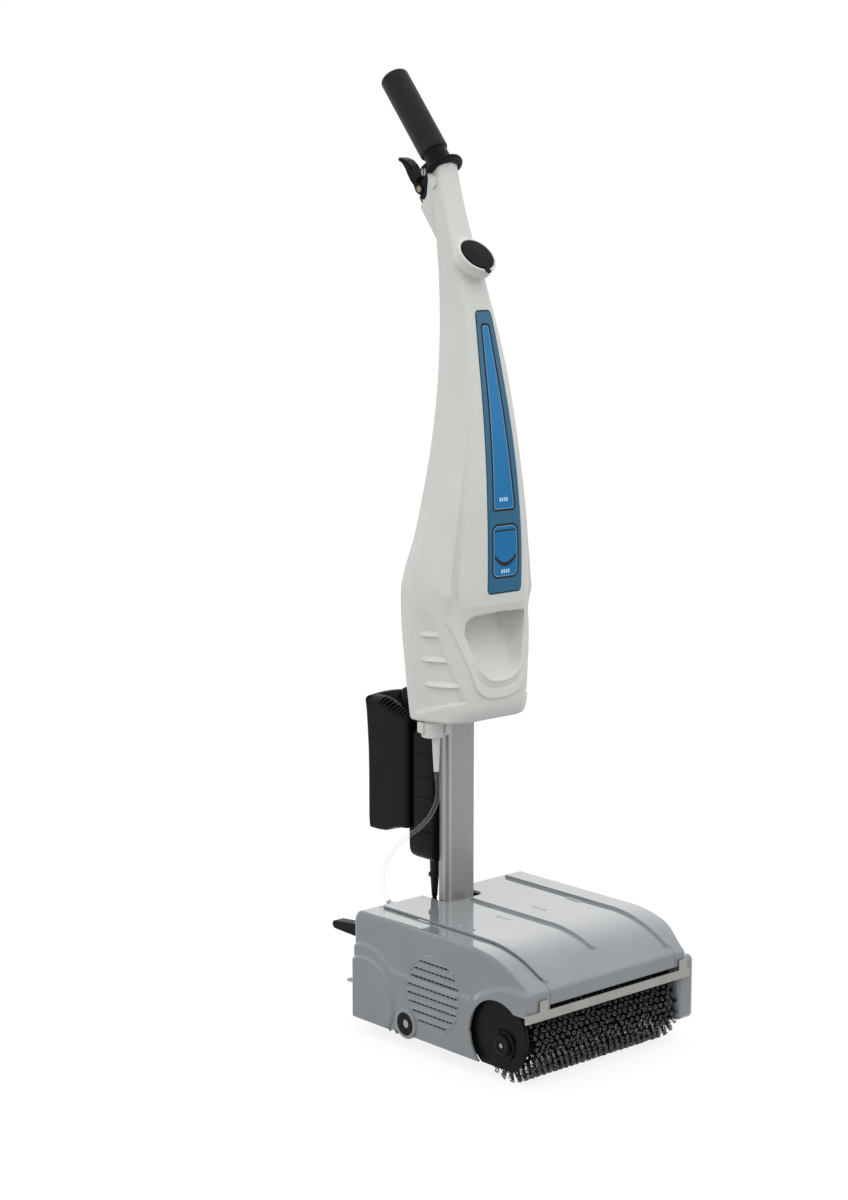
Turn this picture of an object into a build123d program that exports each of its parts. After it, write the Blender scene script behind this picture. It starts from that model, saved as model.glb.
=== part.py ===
"""Upright battery floor scrubber: a low head with two cylinder brushes, and a handle that is also the tank.

Millimetres, +Z up, front towards -Y. The origin is on the floor under the middle of the machine.
"""

import os
from math import cos, degrees, pi, radians, sin, sqrt, tan

from build123d import *

# Head casing
head_half_width = 135.0
head_top = 150.0
head_rear = 112.0
head_front = -194.0
casing_wall = 3.0
casing_bottom = 15.0
rear_edge_radius = 14.0
side_edge_radius = 9.0
hood_fall_start = -93.0
hood_fall_radius = 165.0
lip_bottom = 98.5
panel_half_width = 102.5
panel_seam = 0.6
ridge_width = 6.0
ridge_height = 2.0
ridge_rear_gap = 14.0
middle_ridge_front = -162.0

# Side cover relief
skirt_step = 3.0
skirt_top = 84.0
closed_arch_radius = 58.0
closed_arch_outer_radius = 68.0
closed_arch_inset = 21.0
closed_arch_height = 40.0
open_arch_radius = 43.0
open_arch_height = 54.0
open_arch_inset = 52.0
open_arch_rim = 15.0
open_side_top = 94.0
bulge_step = 5.5
drive_box_setback = 5.0
drive_box_top = 107.0
drive_box_bottom = 27.0
louvre_y = -33.0
louvre_height = 77.5
louvre_radius = 45.7
louvre_slot = 3.2
louvre_pitch = 8.6
louvre_count = 9
part_gap = 0.3

# Brushes
brush_radius = 46.0
brush_flat = 0.5
brush_setback = 46.0
brush_drive_end = 112.0
brush_idle_end = 124.0
brush_core_radius = 20.0
brush_sleeve_wall = 4.0
bristle_side = 3.2
bristle_rows = 24
bristles_per_row = 10
brush_shaft_radius = 8.0
bearing_outer_radius = 14.0
running_fit = 0.05

# Chassis
plate = 3.0
deck_clearance = 3.5
deck_front = -140.0
deck_rear = 100.0
end_plate_radius = 47.5
end_plate_thickness = 3.2
hub_cap_radius = 15.0
hub_lug_radius = 18.0
hub_cap_thickness = 4.0

# Drive
motor_height = 78.0
motor_radius = 30.0
motor_gap = 28.0
motor_shaft_radius = 5.0
motor_pulley_radius = 11.0
brush_pulley_radius = 28.0
pulley_width = 8.0
belt_thickness = 2.5
belt_width = 7.0
belt_fit = 0.3

# Transport wheels and pedal
axle_y = 13.2
axle_height = 31.0
axle_radius = 5.0
bush_radius = 14.0
bush_boss_radius = 18.5
wheel_radius = 18.0
wheel_width = 18.0
wheel_y = -38.0
wheel_height = 26.0
wheel_inner_x = 62.0
wheel_axle_radius = 4.0
arm_thickness = 6.0
arm_inner_x = 52.0
pedal_x = -117.0
pedal_width = 14.0
pedal_pivot_y = 98.0
pedal_pivot_z = 119.0
pedal_tip_y = 162.0
pedal_root_half = 9.5
pedal_tip_half = 5.0
pedal_pin_radius = 3.0
pedal_ear = 2.5

# Guards
bar_left = -144.0
bar_right = 127.5
bar_bottom = 83.0
bar_height = 11.0
bar_thickness = 3.0
bar_tab_x = 115.5
bar_tab_width = 14.0
bar_tab_top = 107.0
splash_bottom = 52.0
splash_reach = 24.0

# Handle pivot and column
handle_x = -9.5
pivot_y = 73.0
pivot_height = 116.0
pivot_pin_radius = 5.0
column_y = 68.4
column_width = 46.0
column_depth = 22.0
column_wall = 2.5
column_corner = 10.5
column_bottom = 124.0
column_insert = 43.0
plug_height = 45.0
hub_radius = 14.0
ear_thickness = 3.5
ear_gap = 0.6
notch_left_gap = 1.5
notch_right_gap = 15.5
notch_front_gap = 1.5
notch_corner = 6.0

# Tank: rows of height, half width, nose y, crown, rear y, corner radius
tank_wall = 3.0
tank_rows = [
    (378.0, 57.0, 16.0, 8.0, 88.0, 14.0),
    (390.0, 62.5, 6.0, 10.0, 94.0, 15.0),
    (412.0, 64.5, -4.0, 14.0, 95.0, 16.0),
    (444.0, 65.4, -12.0, 21.0, 98.0, 17.0),
    (519.0, 65.8, -14.5, 24.0, 106.0, 18.0),
    (554.0, 64.5, -16.0, 25.0, 101.5, 18.0),
    (604.0, 59.6, -15.0, 23.0, 89.5, 18.0),
    (654.0, 52.5, -12.6, 19.0, 80.5, 16.0),
    (704.0, 44.6, -7.0, 14.0, 77.0, 14.0),
    (804.0, 30.0, 11.0, 8.0, 78.0, 12.0),
    (904.0, 20.0, 34.5, 6.0, 87.0, 11.0),
    (964.0, 17.0, 58.0, 6.0, 97.5, 11.0),
    (1012.0, 15.5, 73.5, 6.0, 107.5, 10.5),
    (1064.0, 15.0, 91.0, 6.0, 122.0, 10.5),
]
neck_solid_from = 1004.0
pocket_top = 510.0
pocket_bottom = 431.0
pocket_half_top = 44.0
pocket_half_bottom = 20.0
pocket_depth = 32.0
panel_top = 870.0
panel_bottom = 539.0
panel_half_top = 12.0
panel_half_bottom = 27.0
panel_thickness = 0.8
panel_lift = 0.1

# Filler
filler_y = 31.9
filler_height = 934.4
filler_tilt = 43.0
filler_boss_radius = 25.5
filler_boss_length = 40.0
cap_radius = 22.0
cap_thickness = 3.0
cap_plug_radius = 17.5
cap_plug_length = 12.0
cap_fit = 0.35
cap_sink = 0.7

# Grip and lever, along an axis that leans back
grip_base_y = 109.7
grip_base_z = 1055.5
grip_lean = 39.3
grip_radius = 16.5
grip_length = 116.0
grip_end_wall = 6.0
core_radius = 10.5
core_below = 32.0
neck_below = 20.0
collar_radius = 15.5
collar_length = 8.0
ring_radius = 19.5
lever_pivot = (126.2, 1030.1)
lever_barrel = (135.6, 1011.1)
lever_bend = (146.0, 1032.0)
lever_tip = (171.5, 1048.5)
lever_width = 11.0
lever_pin_radius = 2.5
barrel_radius = 4.0
fork_wall = 4.0

# Valve and hose
valve_x = -51.0
valve_y = 61.0
valve_radius = 16.0
valve_height = 19.0
spigot_radius = 7.0
spigot_length = 9.0
plunger_radius = 3.0
plunger_fit = 0.3
nozzle_top_radius = 4.5
nozzle_tip_radius = 3.0
hose_radius = 3.0
hose_route = [
    (-52.0, 56.0, 318.0),
    (-52.5, 51.5, 300.3),
    (-53.0, 53.0, 281.4),
    (-55.8, 62.0, 261.5),
    (-58.5, 78.4, 244.4),
    (-61.2, 97.4, 230.5),
    (-64.0, 117.4, 213.0),
    (-66.6, 132.3, 192.2),
    (-69.2, 137.6, 172.5),
    (-72.0, 132.2, 155.5),
    (-74.0, 119.0, 145.5),
]
inlet_radius = 3.4
inlet_flange_radius = 7.0
inlet_flange = 3.0

# Battery and dock
dock_width = 60.0
dock_depth = 38.4
dock_bottom = 232.0
dock_top = 362.0
chin_bottom = 197.0
chin_depth = 38.0
rail_width = 30.0
rail_depth = 4.0
rail_inset = 8.0
battery_width = 70.0
battery_depth = 74.0
battery_bottom = 226.0
battery_front_top = 408.0
battery_rear_top = 388.0
battery_fit = 0.4
latch_width = 22.0
latch_depth = 12.0
latch_height = 16.0
latch_y_inset = 14.0
latch_travel = 4.0
relief_x = -17.0
relief_y = 98.0
relief_top_radius = 5.5
relief_tip_radius = 3.6
relief_bottom = 146.5
cable_radius = 3.0
cable_route = [
    (-17.0, 98.0, 146.5),
    (-17.0, 98.0, 130.5),
    (-17.0, 94.0, 114.0),
    (-17.0, 94.0, 98.0),
]

# Small pieces inside
spray_y = -86.0
spray_height = 84.0
spray_radius = 5.0
box_front_inset = 2.0
box_depth = 58.0
box_half_width = 60.0
box_height = 30.0
screw_radius = 3.0
screw_head = 1.5
valve_cable_radius = 1.5
valve_cable_route = [
    (-9.5, 133.0, 1000.0),
    (-9.5, 118.0, 980.0),
    (-9.5, 92.0, 945.0),
    (-9.5, 68.0, 890.0),
    (-10.0, 52.0, 830.0),
    (-12.0, 45.0, 765.0),
    (-18.0, 46.0, 700.0),
    (-28.0, 50.0, 635.0),
    (-38.0, 55.0, 570.0),
    (-46.0, 58.5, 505.0),
    (-50.0, 60.5, 450.0),
    (valve_x, valve_y, 404.0),
]

# Worked out from the sizes above
head_middle = (head_front + head_rear) / 2
front_axis_y = head_front + brush_setback
rear_axis_y = head_rear - brush_setback
axis_z = brush_radius - brush_flat
deck_bottom = axis_z + brush_radius + deck_clearance
deck_top = deck_bottom + plate
drive_wall_in = brush_drive_end + 2.0
drive_wall_out = drive_wall_in + plate
idle_wall_in = brush_idle_end + 1.0
idle_wall_out = idle_wall_in + plate
deck_half_width = idle_wall_out
pulley_in = drive_wall_out + 2.0
pulley_out = pulley_in + pulley_width
side_in = head_half_width - casing_wall
skirt_out = head_half_width + skirt_step
bulge_out = head_half_width + bulge_step
column_left = handle_x - column_width / 2
column_right = handle_x + column_width / 2
column_front = column_y - column_depth / 2
column_rear = column_y + column_depth / 2
tank_bottom = tank_rows[0][0]
column_top = tank_bottom + column_insert
dock_front = column_rear
dock_rear = dock_front + dock_depth
grip_axis = (sin(radians(grip_lean)), cos(radians(grip_lean)))
filler_axis = (-cos(radians(filler_tilt)), sin(radians(filler_tilt)))


def block(x0, x1, y0, y1, z0, z1):
    """A box between two corners."""
    return Pos((x0 + x1) / 2, (y0 + y1) / 2, (z0 + z1) / 2) * Box(x1 - x0, y1 - y0, z1 - z0)


def rod(x0, x1, y, z, radius):
    """A round bar along X."""
    return Pos((x0 + x1) / 2, y, z) * Rot(0, 90, 0) * Cylinder(radius, x1 - x0)


def post(x, y, z0, z1, low_radius, high_radius):
    """An upright round post, straight or tapered."""
    if low_radius == high_radius:
        return Pos(x, y, (z0 + z1) / 2) * Cylinder(low_radius, z1 - z0)
    return Pos(x, y, (z0 + z1) / 2) * Cone(low_radius, high_radius, z1 - z0)


def along_x(sketch, x0, x1):
    """Extrudes a sketch whose plane coordinates are Y and Z."""
    return extrude(Plane.YZ.offset(x0) * sketch, amount=x1 - x0, dir=(1, 0, 0))


def disc(y, z, radius):
    return Pos(y, z) * Circle(radius)


def patch(y0, y1, z0, z1):
    return Pos((y0 + y1) / 2, (z0 + z1) / 2) * Rectangle(y1 - y0, z1 - z0)


def link(start, start_radius, end, end_radius):
    """A flat bar between two round ends."""
    ends = [*disc(*start, start_radius).edges(), *disc(*end, end_radius).edges()]
    return make_hull(ends)


def turned(shape):
    """The same piece for the other brush: half a turn about the middle of the head."""
    return Pos(0, 2 * head_middle, 0) * Rot(0, 0, 180) * shape


def on_grip(shape, along):
    """Places a piece made along +Z on the grip's axis, starting `along` from its base."""
    place = Pos(handle_x, grip_base_y + grip_axis[0] * along, grip_base_z + grip_axis[1] * along)
    return place * Rot(-grip_lean, 0, 0) * shape


def on_filler(shape):
    """Places a piece made along +Z on the filler's axis, with z 0 at the rim."""
    return Pos(handle_x, filler_y, filler_height) * Rot(90 - filler_tilt, 0, 0) * shape


def tube_path(route):
    """Straight runs joined by tangent arcs as large as the runs allow, with their radii."""
    points = [Vector(*point) for point in route]
    runs = [after - before for before, after in zip(points, points[1:])]
    radii = []
    for before, after in zip(runs, runs[1:]):
        half_turn = radians(before.get_angle(after)) / 2
        radii.append(0.45 * min(before.length, after.length) / tan(half_turn))
    return FilletPolyline(*points, radius=radii), radii


def tube(name, route, radius):
    """A round cord along a route; prints its radii and checks its volume against its length."""
    path, radii = tube_path(route)
    start = Plane(origin=path @ 0, z_dir=path % 0)
    solid = sweep(start * Circle(radius), path=path)
    expected = pi * radius**2 * path.length
    shown = ", ".join(f"{value:.1f}" for value in radii)
    print(f"{name}: length {path.length:.1f}, radii {shown}, volume ratio {solid.volume / expected:.4f}")
    return solid


def save(name, shape):
    shape.label = name
    export_step(shape, f"parts/{name}.step")


def save_pair(name, turned_name, shape):
    """Saves a piece and its half-turned twin."""
    save(name, shape)
    save(turned_name, turned(shape))


# Head casing
def head_outline(inset, bottom):
    """Side view of the head, drawn in by `inset`: flat top, falling front and a short upright lip."""
    top = head_top - inset
    rear = head_rear - inset
    front = head_front + inset
    corner = max(rear_edge_radius - inset, 1.0)
    fall = hood_fall_radius - inset
    fall_centre = head_top - hood_fall_radius
    reach = hood_fall_start - front
    crease = fall_centre + sqrt(fall**2 - reach**2)
    half = reach / 2
    half_z = fall_centre + sqrt(fall**2 - half**2)
    diagonal = corner * (1 - sqrt(0.5))
    return make_face(
        [
            Line((rear, bottom), (rear, top - corner)),
            ThreePointArc((rear, top - corner), (rear - diagonal, top - diagonal), (rear - corner, top)),
            Line((rear - corner, top), (hood_fall_start, top)),
            ThreePointArc((hood_fall_start, top), (hood_fall_start - half, half_z), (front, crease)),
            Line((front, crease), (front, bottom)),
            Line((front, bottom), (rear, bottom)),
        ]
    )


def ridge(x0, x1, front):
    """A raised bead that follows the top of the head."""
    bead = head_outline(-ridge_height, casing_bottom) - head_outline(0.5, 0)
    keep = block(x0, x1, front, head_rear - ridge_rear_gap, lip_bottom, head_top + 2 * ridge_height)
    return along_x(bead, x0, x1) & keep


def hood():
    """Centre panel of the casing, notched at the rear for the column."""
    shell = along_x(head_outline(0, 0) - head_outline(casing_wall, -1), -panel_half_width, panel_half_width)
    shell -= block(-head_half_width, head_half_width, head_front - 1, head_rear + 1, -2, lip_bottom)
    shell += ridge(-ridge_width / 2, ridge_width / 2, middle_ridge_front) & block(
        -ridge_width, ridge_width, head_front, column_front - 10, 0, head_top + 2 * ridge_height
    )
    notch = block(
        column_left - notch_left_gap,
        column_right + notch_right_gap,
        column_front - notch_front_gap,
        head_rear + 1,
        0,
        head_top + 2 * ridge_height,
    )
    return shell - fillet(notch.edges().filter_by(Axis.Z).sort_by(Axis.Y)[:2], notch_corner)


def open_arch(at_front):
    """The side opening in front of a bearing end plate, drawn in Y and Z."""
    if at_front:
        centre = head_front + open_arch_inset
        opening = patch(head_front - 20, centre, -20, open_side_top)
    else:
        centre = head_rear - open_arch_inset
        opening = patch(centre, head_rear + 20, -20, open_side_top)
    return opening + disc(centre, open_arch_height, open_arch_radius)


def side_relief(at_front):
    """Lower part of a side cover that stands out from it, drawn in Y and Z."""
    if at_front:
        open_y = head_front + open_arch_inset
        closed_y = head_rear - closed_arch_inset
    else:
        open_y = head_rear - open_arch_inset
        closed_y = head_front + closed_arch_inset
    relief = patch(head_front - 5, head_rear, casing_bottom, skirt_top)
    relief += disc(open_y, open_arch_height, open_arch_radius + open_arch_rim)
    relief += disc(closed_y, closed_arch_height, closed_arch_outer_radius)
    return relief & head_outline(0, casing_bottom)


def side_cover(at_front):
    """A left-hand side cover; `at_front` says which end is open for a bearing end plate."""
    inner_x = -(panel_half_width + panel_seam)
    cover = along_x(head_outline(0, casing_bottom), -head_half_width, inner_x)
    side_edges = cover.faces().sort_by(Axis.X)[0].edges()
    top_edges = [edge for edge in side_edges if edge.center().Z > head_top - rear_edge_radius]
    cover = fillet(top_edges, side_edge_radius)
    cover -= along_x(head_outline(casing_wall, 0), -side_in, inner_x + 1)
    closed_y = head_rear - closed_arch_inset if at_front else head_front + closed_arch_inset
    closed = disc(closed_y, closed_arch_height, closed_arch_radius) & head_outline(0, casing_bottom)
    cover += along_x(side_relief(at_front), -skirt_out, -side_in)
    cover += along_x(closed, -bulge_out, -side_in)
    hollow = disc(closed_y, closed_arch_height, closed_arch_radius - casing_wall) & head_outline(casing_wall, 0)
    cover -= along_x(hollow, -(bulge_out - casing_wall), -side_in + 1)
    if not at_front:
        drive_front = head_front + drive_box_setback
        drive_rear = head_front + closed_arch_inset + closed_arch_radius
        cover -= block(-200, 0, head_front - 1, head_front + 2 * casing_wall, 0, lip_bottom)
        housing = block(-bulge_out, -drive_wall_out, drive_front, drive_rear, drive_box_bottom, drive_box_top)
        cover += fillet(housing.edges().filter_by(Axis.Z).sort_by(Axis.X)[:2], side_edge_radius)
        cover -= block(
            -(bulge_out - casing_wall),
            0,
            drive_front + casing_wall,
            head_rear - casing_wall - 1,
            0,
            drive_box_top - casing_wall,
        )
        cover += along_x(side_relief(at_front), -skirt_out, -side_in)
    cover -= block(-drive_wall_out, 0, head_front - 1, head_rear + 1, 0, lip_bottom)
    cover -= along_x(open_arch(at_front), -bulge_out - 1, 0)
    cover += along_x(disc(axle_y, axle_height, bush_boss_radius), -bulge_out, -side_in)
    cover -= rod(-bulge_out - 1, 0, axle_y, axle_height, bush_radius + running_fit)
    louvre_at = louvre_y if at_front else 2 * head_middle - louvre_y
    cover -= rod(-bulge_out - 1, -side_in + 1, louvre_at, louvre_height, louvre_radius + running_fit)
    cover += ridge(inner_x - ridge_width, inner_x, head_front)
    return cover


def left_side_cover():
    pedal_slot = block(
        pedal_x - pedal_width / 2 - 2,
        pedal_x + pedal_width / 2 + 2,
        head_rear - casing_wall - 1,
        head_rear + 1,
        pedal_pivot_z - pedal_root_half - 12,
        pedal_pivot_z + pedal_root_half + 2,
    )
    return side_cover(True) - pedal_slot


def right_side_cover():
    return mirror(side_cover(False), Plane.YZ)


def louvre():
    """Round air grille that closes the hole in the left cover."""
    grille = rod(-skirt_out, -side_in, louvre_y, louvre_height, louvre_radius)
    for index in range(louvre_count):
        height = louvre_height + (index - (louvre_count - 1) / 2) * louvre_pitch
        half = sqrt((louvre_radius - 4.0) ** 2 - (height - louvre_height) ** 2)
        grille -= block(
            -skirt_out - 1,
            -side_in + 1,
            louvre_y - half,
            louvre_y + half,
            height - louvre_slot / 2,
            height + louvre_slot / 2,
        )
    return grille


def front_guard_bar():
    y1 = head_front
    y0 = y1 - bar_thickness
    bar = block(bar_left, bar_right, y0, y1, bar_bottom, bar_bottom + bar_height)
    for side in (-1, 1):
        x = side * bar_tab_x
        bar += block(x - bar_tab_width / 2, x + bar_tab_width / 2, y0, y1, bar_bottom, bar_tab_top)
    return bar


def rear_splash_plate():
    """Bent sheet behind the rear brush, hung from the casing by two tabs."""
    y0 = head_rear
    y1 = y0 + bar_thickness
    sheet = block(-bar_right, bar_right, y0, y1, splash_bottom, bar_bottom + bar_height)
    sheet += block(-bar_right, bar_right, y0, y0 + splash_reach, splash_bottom, splash_bottom + bar_thickness)
    for side in (-1, 1):
        x = side * (panel_half_width - bar_tab_width)
        sheet += block(x - bar_tab_width / 2, x + bar_tab_width / 2, y0, y1, bar_bottom, bar_tab_top)
    return sheet


# Chassis and bearings
def chassis():
    """Deck over the brushes, with walls that carry the brushes, motors and axle, and ears for pivots."""
    frame = block(-deck_half_width, deck_half_width, deck_front, deck_rear, deck_bottom, deck_top)
    well = motor_radius + 4.0
    frame -= block(
        -drive_wall_in, drive_wall_in, head_middle - well, head_middle + well, deck_bottom - 1, deck_top + 1
    )
    drive_wall = block(
        drive_wall_in,
        drive_wall_out,
        front_axis_y - bearing_outer_radius - 12,
        head_middle + well + 6,
        casing_bottom + 5,
        deck_bottom,
    )
    drive_wall -= rod(0, 200, front_axis_y, axis_z, bearing_outer_radius + running_fit)
    drive_wall -= rod(0, 200, head_middle, motor_height, motor_shaft_radius + 2)
    plate_y = head_front + open_arch_inset + 6
    idle_face = disc(plate_y, open_arch_height + 1, end_plate_radius - 2) & patch(
        head_front, head_middle, casing_bottom + 3, deck_bottom
    )
    idle_face += patch(plate_y, head_middle - well + 4, casing_bottom + 5, deck_bottom)
    idle_wall = along_x(idle_face, -idle_wall_out, -idle_wall_in)
    idle_wall -= rod(-200, 0, front_axis_y, axis_z, bearing_outer_radius + running_fit)
    frame += [drive_wall, turned(drive_wall), idle_wall, turned(idle_wall)]
    frame -= rod(-200, 200, axle_y, axle_height, axle_radius + 1)
    ear_face = link((pivot_y, pivot_height), hub_radius, (pivot_y, deck_top + hub_radius), hub_radius)
    ear_face += patch(pivot_y - hub_radius, pivot_y + hub_radius, deck_top - 1, deck_top + hub_radius)
    for x in (column_left - ear_gap - ear_thickness, column_right + ear_gap):
        frame += along_x(ear_face, x, x + ear_thickness)
    pedal_half = pedal_width / 2 + 0.5
    pedal_face = patch(pedal_pivot_y - 7, min(pedal_pivot_y + 7, deck_rear), deck_top - 1, pedal_pivot_z)
    pedal_face += disc(pedal_pivot_y, pedal_pivot_z, 7.0)
    for x in (pedal_x - pedal_half - pedal_ear, pedal_x + pedal_half):
        frame += along_x(pedal_face, x, x + pedal_ear)
    frame -= rod(-200, 200, pivot_y, pivot_height, pivot_pin_radius + running_fit / 2)
    frame -= rod(-200, pedal_x + pedal_width, pedal_pivot_y, pedal_pivot_z, pedal_pin_radius + running_fit / 2)
    return frame


def end_plate():
    """Black plate on the idle end of the front brush."""
    y = head_front + open_arch_inset + 6
    face = disc(y, open_arch_height + 1, end_plate_radius) & patch(-400, 400, casing_bottom, 200)
    body = along_x(face, -idle_wall_out - end_plate_thickness, -idle_wall_out)
    return body - rod(-200, 0, front_axis_y, axis_z, bearing_outer_radius + running_fit)


def rear_end_plate():
    """The same plate at the rear, cut away round the axle bush."""
    return turned(end_plate()) - rod(0, 200, axle_y, axle_height, bush_radius + 1.0)


def hub_cap():
    """Bayonet cap over the idle bearing, with three lugs and a screw head."""
    inner = -idle_wall_out - part_gap - end_plate_thickness
    cap = rod(inner - hub_cap_thickness, inner, front_axis_y, axis_z, hub_cap_radius)
    lug = block(inner - 2.2, inner, -4, 4, hub_cap_radius - 2, hub_lug_radius)
    for turn in (90, 210, 330):
        cap += Pos(0, front_axis_y, axis_z) * Rot(turn, 0, 0) * lug
    head_at = inner - hub_cap_thickness
    return cap + rod(head_at - screw_head, head_at, front_axis_y, axis_z, 4.0)


def bearings():
    """The two plain bearings of the front brush."""
    idle = rod(-idle_wall_out - end_plate_thickness, -idle_wall_in, front_axis_y, axis_z, bearing_outer_radius)
    drive = rod(drive_wall_in, drive_wall_out, front_axis_y, axis_z, bearing_outer_radius)
    bore = rod(-200, 200, front_axis_y, axis_z, brush_shaft_radius + running_fit)
    return Compound(children=[idle - bore, drive - bore])


# Brushes
def brush_core():
    core = rod(-brush_idle_end, brush_drive_end, front_axis_y, axis_z, brush_core_radius)
    return core + rod(-idle_wall_out - end_plate_thickness, pulley_out, front_axis_y, axis_z, brush_shaft_radius)


def bristles():
    """Rows of square bristles on a sleeve, each second row shifted by half a step, cut flat at the floor."""
    sleeve_radius = brush_core_radius + brush_sleeve_wall
    left = -brush_idle_end
    length = brush_idle_end + brush_drive_end
    sleeve = rod(left, left + length, 0, 0, sleeve_radius)
    sleeve -= rod(left - 1, left + length + 1, 0, 0, brush_core_radius + running_fit)
    step = length / (bristles_per_row + 0.5)
    strand_length = brush_radius - sleeve_radius + 1.5
    strands = []
    for row in range(bristle_rows):
        turn = 360.0 / bristle_rows * row
        shift = 0.5 * (row % 2)
        for index in range(bristles_per_row):
            x = left + step * (index + 0.5 + shift)
            strand = Pos(x, 0, brush_radius - strand_length / 2) * Box(bristle_side, bristle_side, strand_length)
            strands.append(Rot(turn, 0, 0) * strand)
    brush = Pos(0, front_axis_y, axis_z) * sleeve.fuse(*strands)
    return brush - block(-200, 200, front_axis_y - 60, front_axis_y + 60, -20, 0)


def brush_pulley():
    wheel = rod(pulley_in, pulley_out, front_axis_y, axis_z, brush_pulley_radius)
    return wheel - rod(0, 200, front_axis_y, axis_z, brush_shaft_radius + running_fit / 2)


# Motors, belts and electrics
def motor():
    """Motor of the front brush, flanged to its chassis wall."""
    body = rod(motor_gap / 2, drive_wall_in, head_middle, motor_height, motor_radius)
    return body - rod(motor_gap / 2 + 4, 200, head_middle, motor_height, motor_shaft_radius + running_fit)


def rotor():
    """Motor shaft with its toothed pulley."""
    shaft = rod(motor_gap / 2 + 6, pulley_out, head_middle, motor_height, motor_shaft_radius)
    return shaft + rod(pulley_in, pulley_out, head_middle, motor_height, motor_pulley_radius)


def belt():
    """Closed belt round the motor pulley and the brush pulley."""
    small = motor_pulley_radius + belt_fit
    large = brush_pulley_radius + belt_fit
    motor_at = (head_middle, motor_height)
    brush_at = (front_axis_y, axis_z)
    loop = link(motor_at, small + belt_thickness, brush_at, large + belt_thickness)
    loop -= link(motor_at, small, brush_at, large)
    middle = (pulley_in + pulley_out) / 2
    return along_x(loop, middle - belt_width / 2, middle + belt_width / 2)


def control_box():
    y0 = deck_front + box_front_inset
    body = block(-box_half_width, box_half_width, y0, y0 + box_depth, deck_top, deck_top + box_height)
    return fillet(body.edges().filter_by(Axis.Z), 4.0)


def spray_bar():
    bar = rod(-idle_wall_in, drive_wall_in, spray_y, spray_height, spray_radius)
    bar -= rod(-idle_wall_in + 4, drive_wall_in - 4, spray_y, spray_height, spray_radius - 1.5)
    return bar


def hose_end_direction():
    """Unit vector from the end of the hose back along its last run."""
    return (Vector(*hose_route[-2]) - Vector(*hose_route[-1])).normalized()


def hose_inlet():
    """Stub on the rear of the hood that the supply hose meets end to end."""
    tip = Vector(*hose_route[-1])
    outward = hose_end_direction()
    reach = (tip.Y - head_rear) / outward.Y
    foot = tip - outward * (reach + inlet_radius)
    stub = Plane(origin=foot, z_dir=outward) * Pos(0, 0, (reach + inlet_radius) / 2)
    stub *= Cylinder(inlet_radius, reach + inlet_radius)
    seat = tip - outward * reach
    flange = Pos(seat.X, head_rear + inlet_flange - rear_edge_radius / 2, seat.Z) * Rot(90, 0, 0)
    body = stub + flange * Cylinder(inlet_flange_radius, rear_edge_radius)
    return body - along_x(head_outline(0, 0), -panel_half_width, panel_half_width)


# Transport wheels and pedal
def axle_bushes():
    bore = rod(-200, 200, axle_y, axle_height, axle_radius + running_fit)
    left = rod(-bulge_out, -side_in + casing_wall, axle_y, axle_height, bush_radius) - bore
    return Compound(children=[left, mirror(left, Plane.YZ)])


def axle_shaft():
    end = bulge_out - 1.0
    return rod(-end, end, axle_y, axle_height, axle_radius)


def wheel_arms():
    """Two arms fixed on the axle shaft that carry the wheel axle."""
    face = link((axle_y, axle_height), axle_radius + 3.0, (wheel_y, wheel_height), wheel_axle_radius + 3.0)
    face -= disc(axle_y, axle_height, axle_radius + running_fit / 2)
    face -= disc(wheel_y, wheel_height, wheel_axle_radius + running_fit / 2)
    left = along_x(face, -arm_inner_x - arm_thickness, -arm_inner_x)
    return Compound(children=[left, mirror(left, Plane.YZ)])


def wheel_axle():
    end = wheel_inner_x + wheel_width + 4.0
    return rod(-end, end, wheel_y, wheel_height, wheel_axle_radius)


def left_wheel():
    outer = -(wheel_inner_x + wheel_width)
    wheel = rod(outer, -wheel_inner_x, wheel_y, wheel_height, wheel_radius)
    wheel = fillet(wheel.edges(), 2.5)
    return wheel - rod(outer - 1, 0, wheel_y, wheel_height, wheel_axle_radius + running_fit)


def foot_pedal():
    """Tapered pedal that leaves the casing through a slot at the rear."""
    pivot = (pedal_pivot_y, pedal_pivot_z)
    tip = (pedal_tip_y, pedal_pivot_z - 2.0)
    face = link(pivot, pedal_root_half, tip, pedal_tip_half)
    face -= disc(*pivot, pedal_pin_radius + running_fit)
    return along_x(face, pedal_x - pedal_width / 2, pedal_x + pedal_width / 2)


def pedal_pin():
    half = pedal_width / 2 + 0.5 + pedal_ear + 2.0
    return rod(pedal_x - half, pedal_x + half, pedal_pivot_y, pedal_pivot_z, pedal_pin_radius)


# Column
def pivot_pin():
    half = column_width / 2 + ear_gap + ear_thickness + 3.0
    return rod(handle_x - half, handle_x + half, pivot_y, pivot_height, pivot_pin_radius)


def column_section(inset):
    return RectangleRounded(column_width - 2 * inset, column_depth - 2 * inset, column_corner - inset)


def column():
    """Hollow extruded column that ends inside the tank."""
    tube_face = column_section(0) - column_section(column_wall)
    return extrude(Pos(handle_x, column_y, column_bottom) * tube_face, amount=column_top - column_bottom)


def column_foot():
    """Hub on the pivot pin, with a plug inside the column."""
    left = column_left + part_gap
    right = column_right - part_gap
    hub = link((pivot_y, pivot_height), hub_radius - 1.0, (column_y, column_bottom - 6.0), column_depth / 2)
    foot = along_x(hub, left, right) & block(-200, 200, 0, 200, 0, column_bottom)
    plug = column_section(column_wall + 0.1)
    foot += extrude(Pos(handle_x, column_y, column_bottom - 2) * plug, amount=plug_height + 2)
    return foot - rod(-200, 200, pivot_y, pivot_height, pivot_pin_radius + running_fit)


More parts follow.
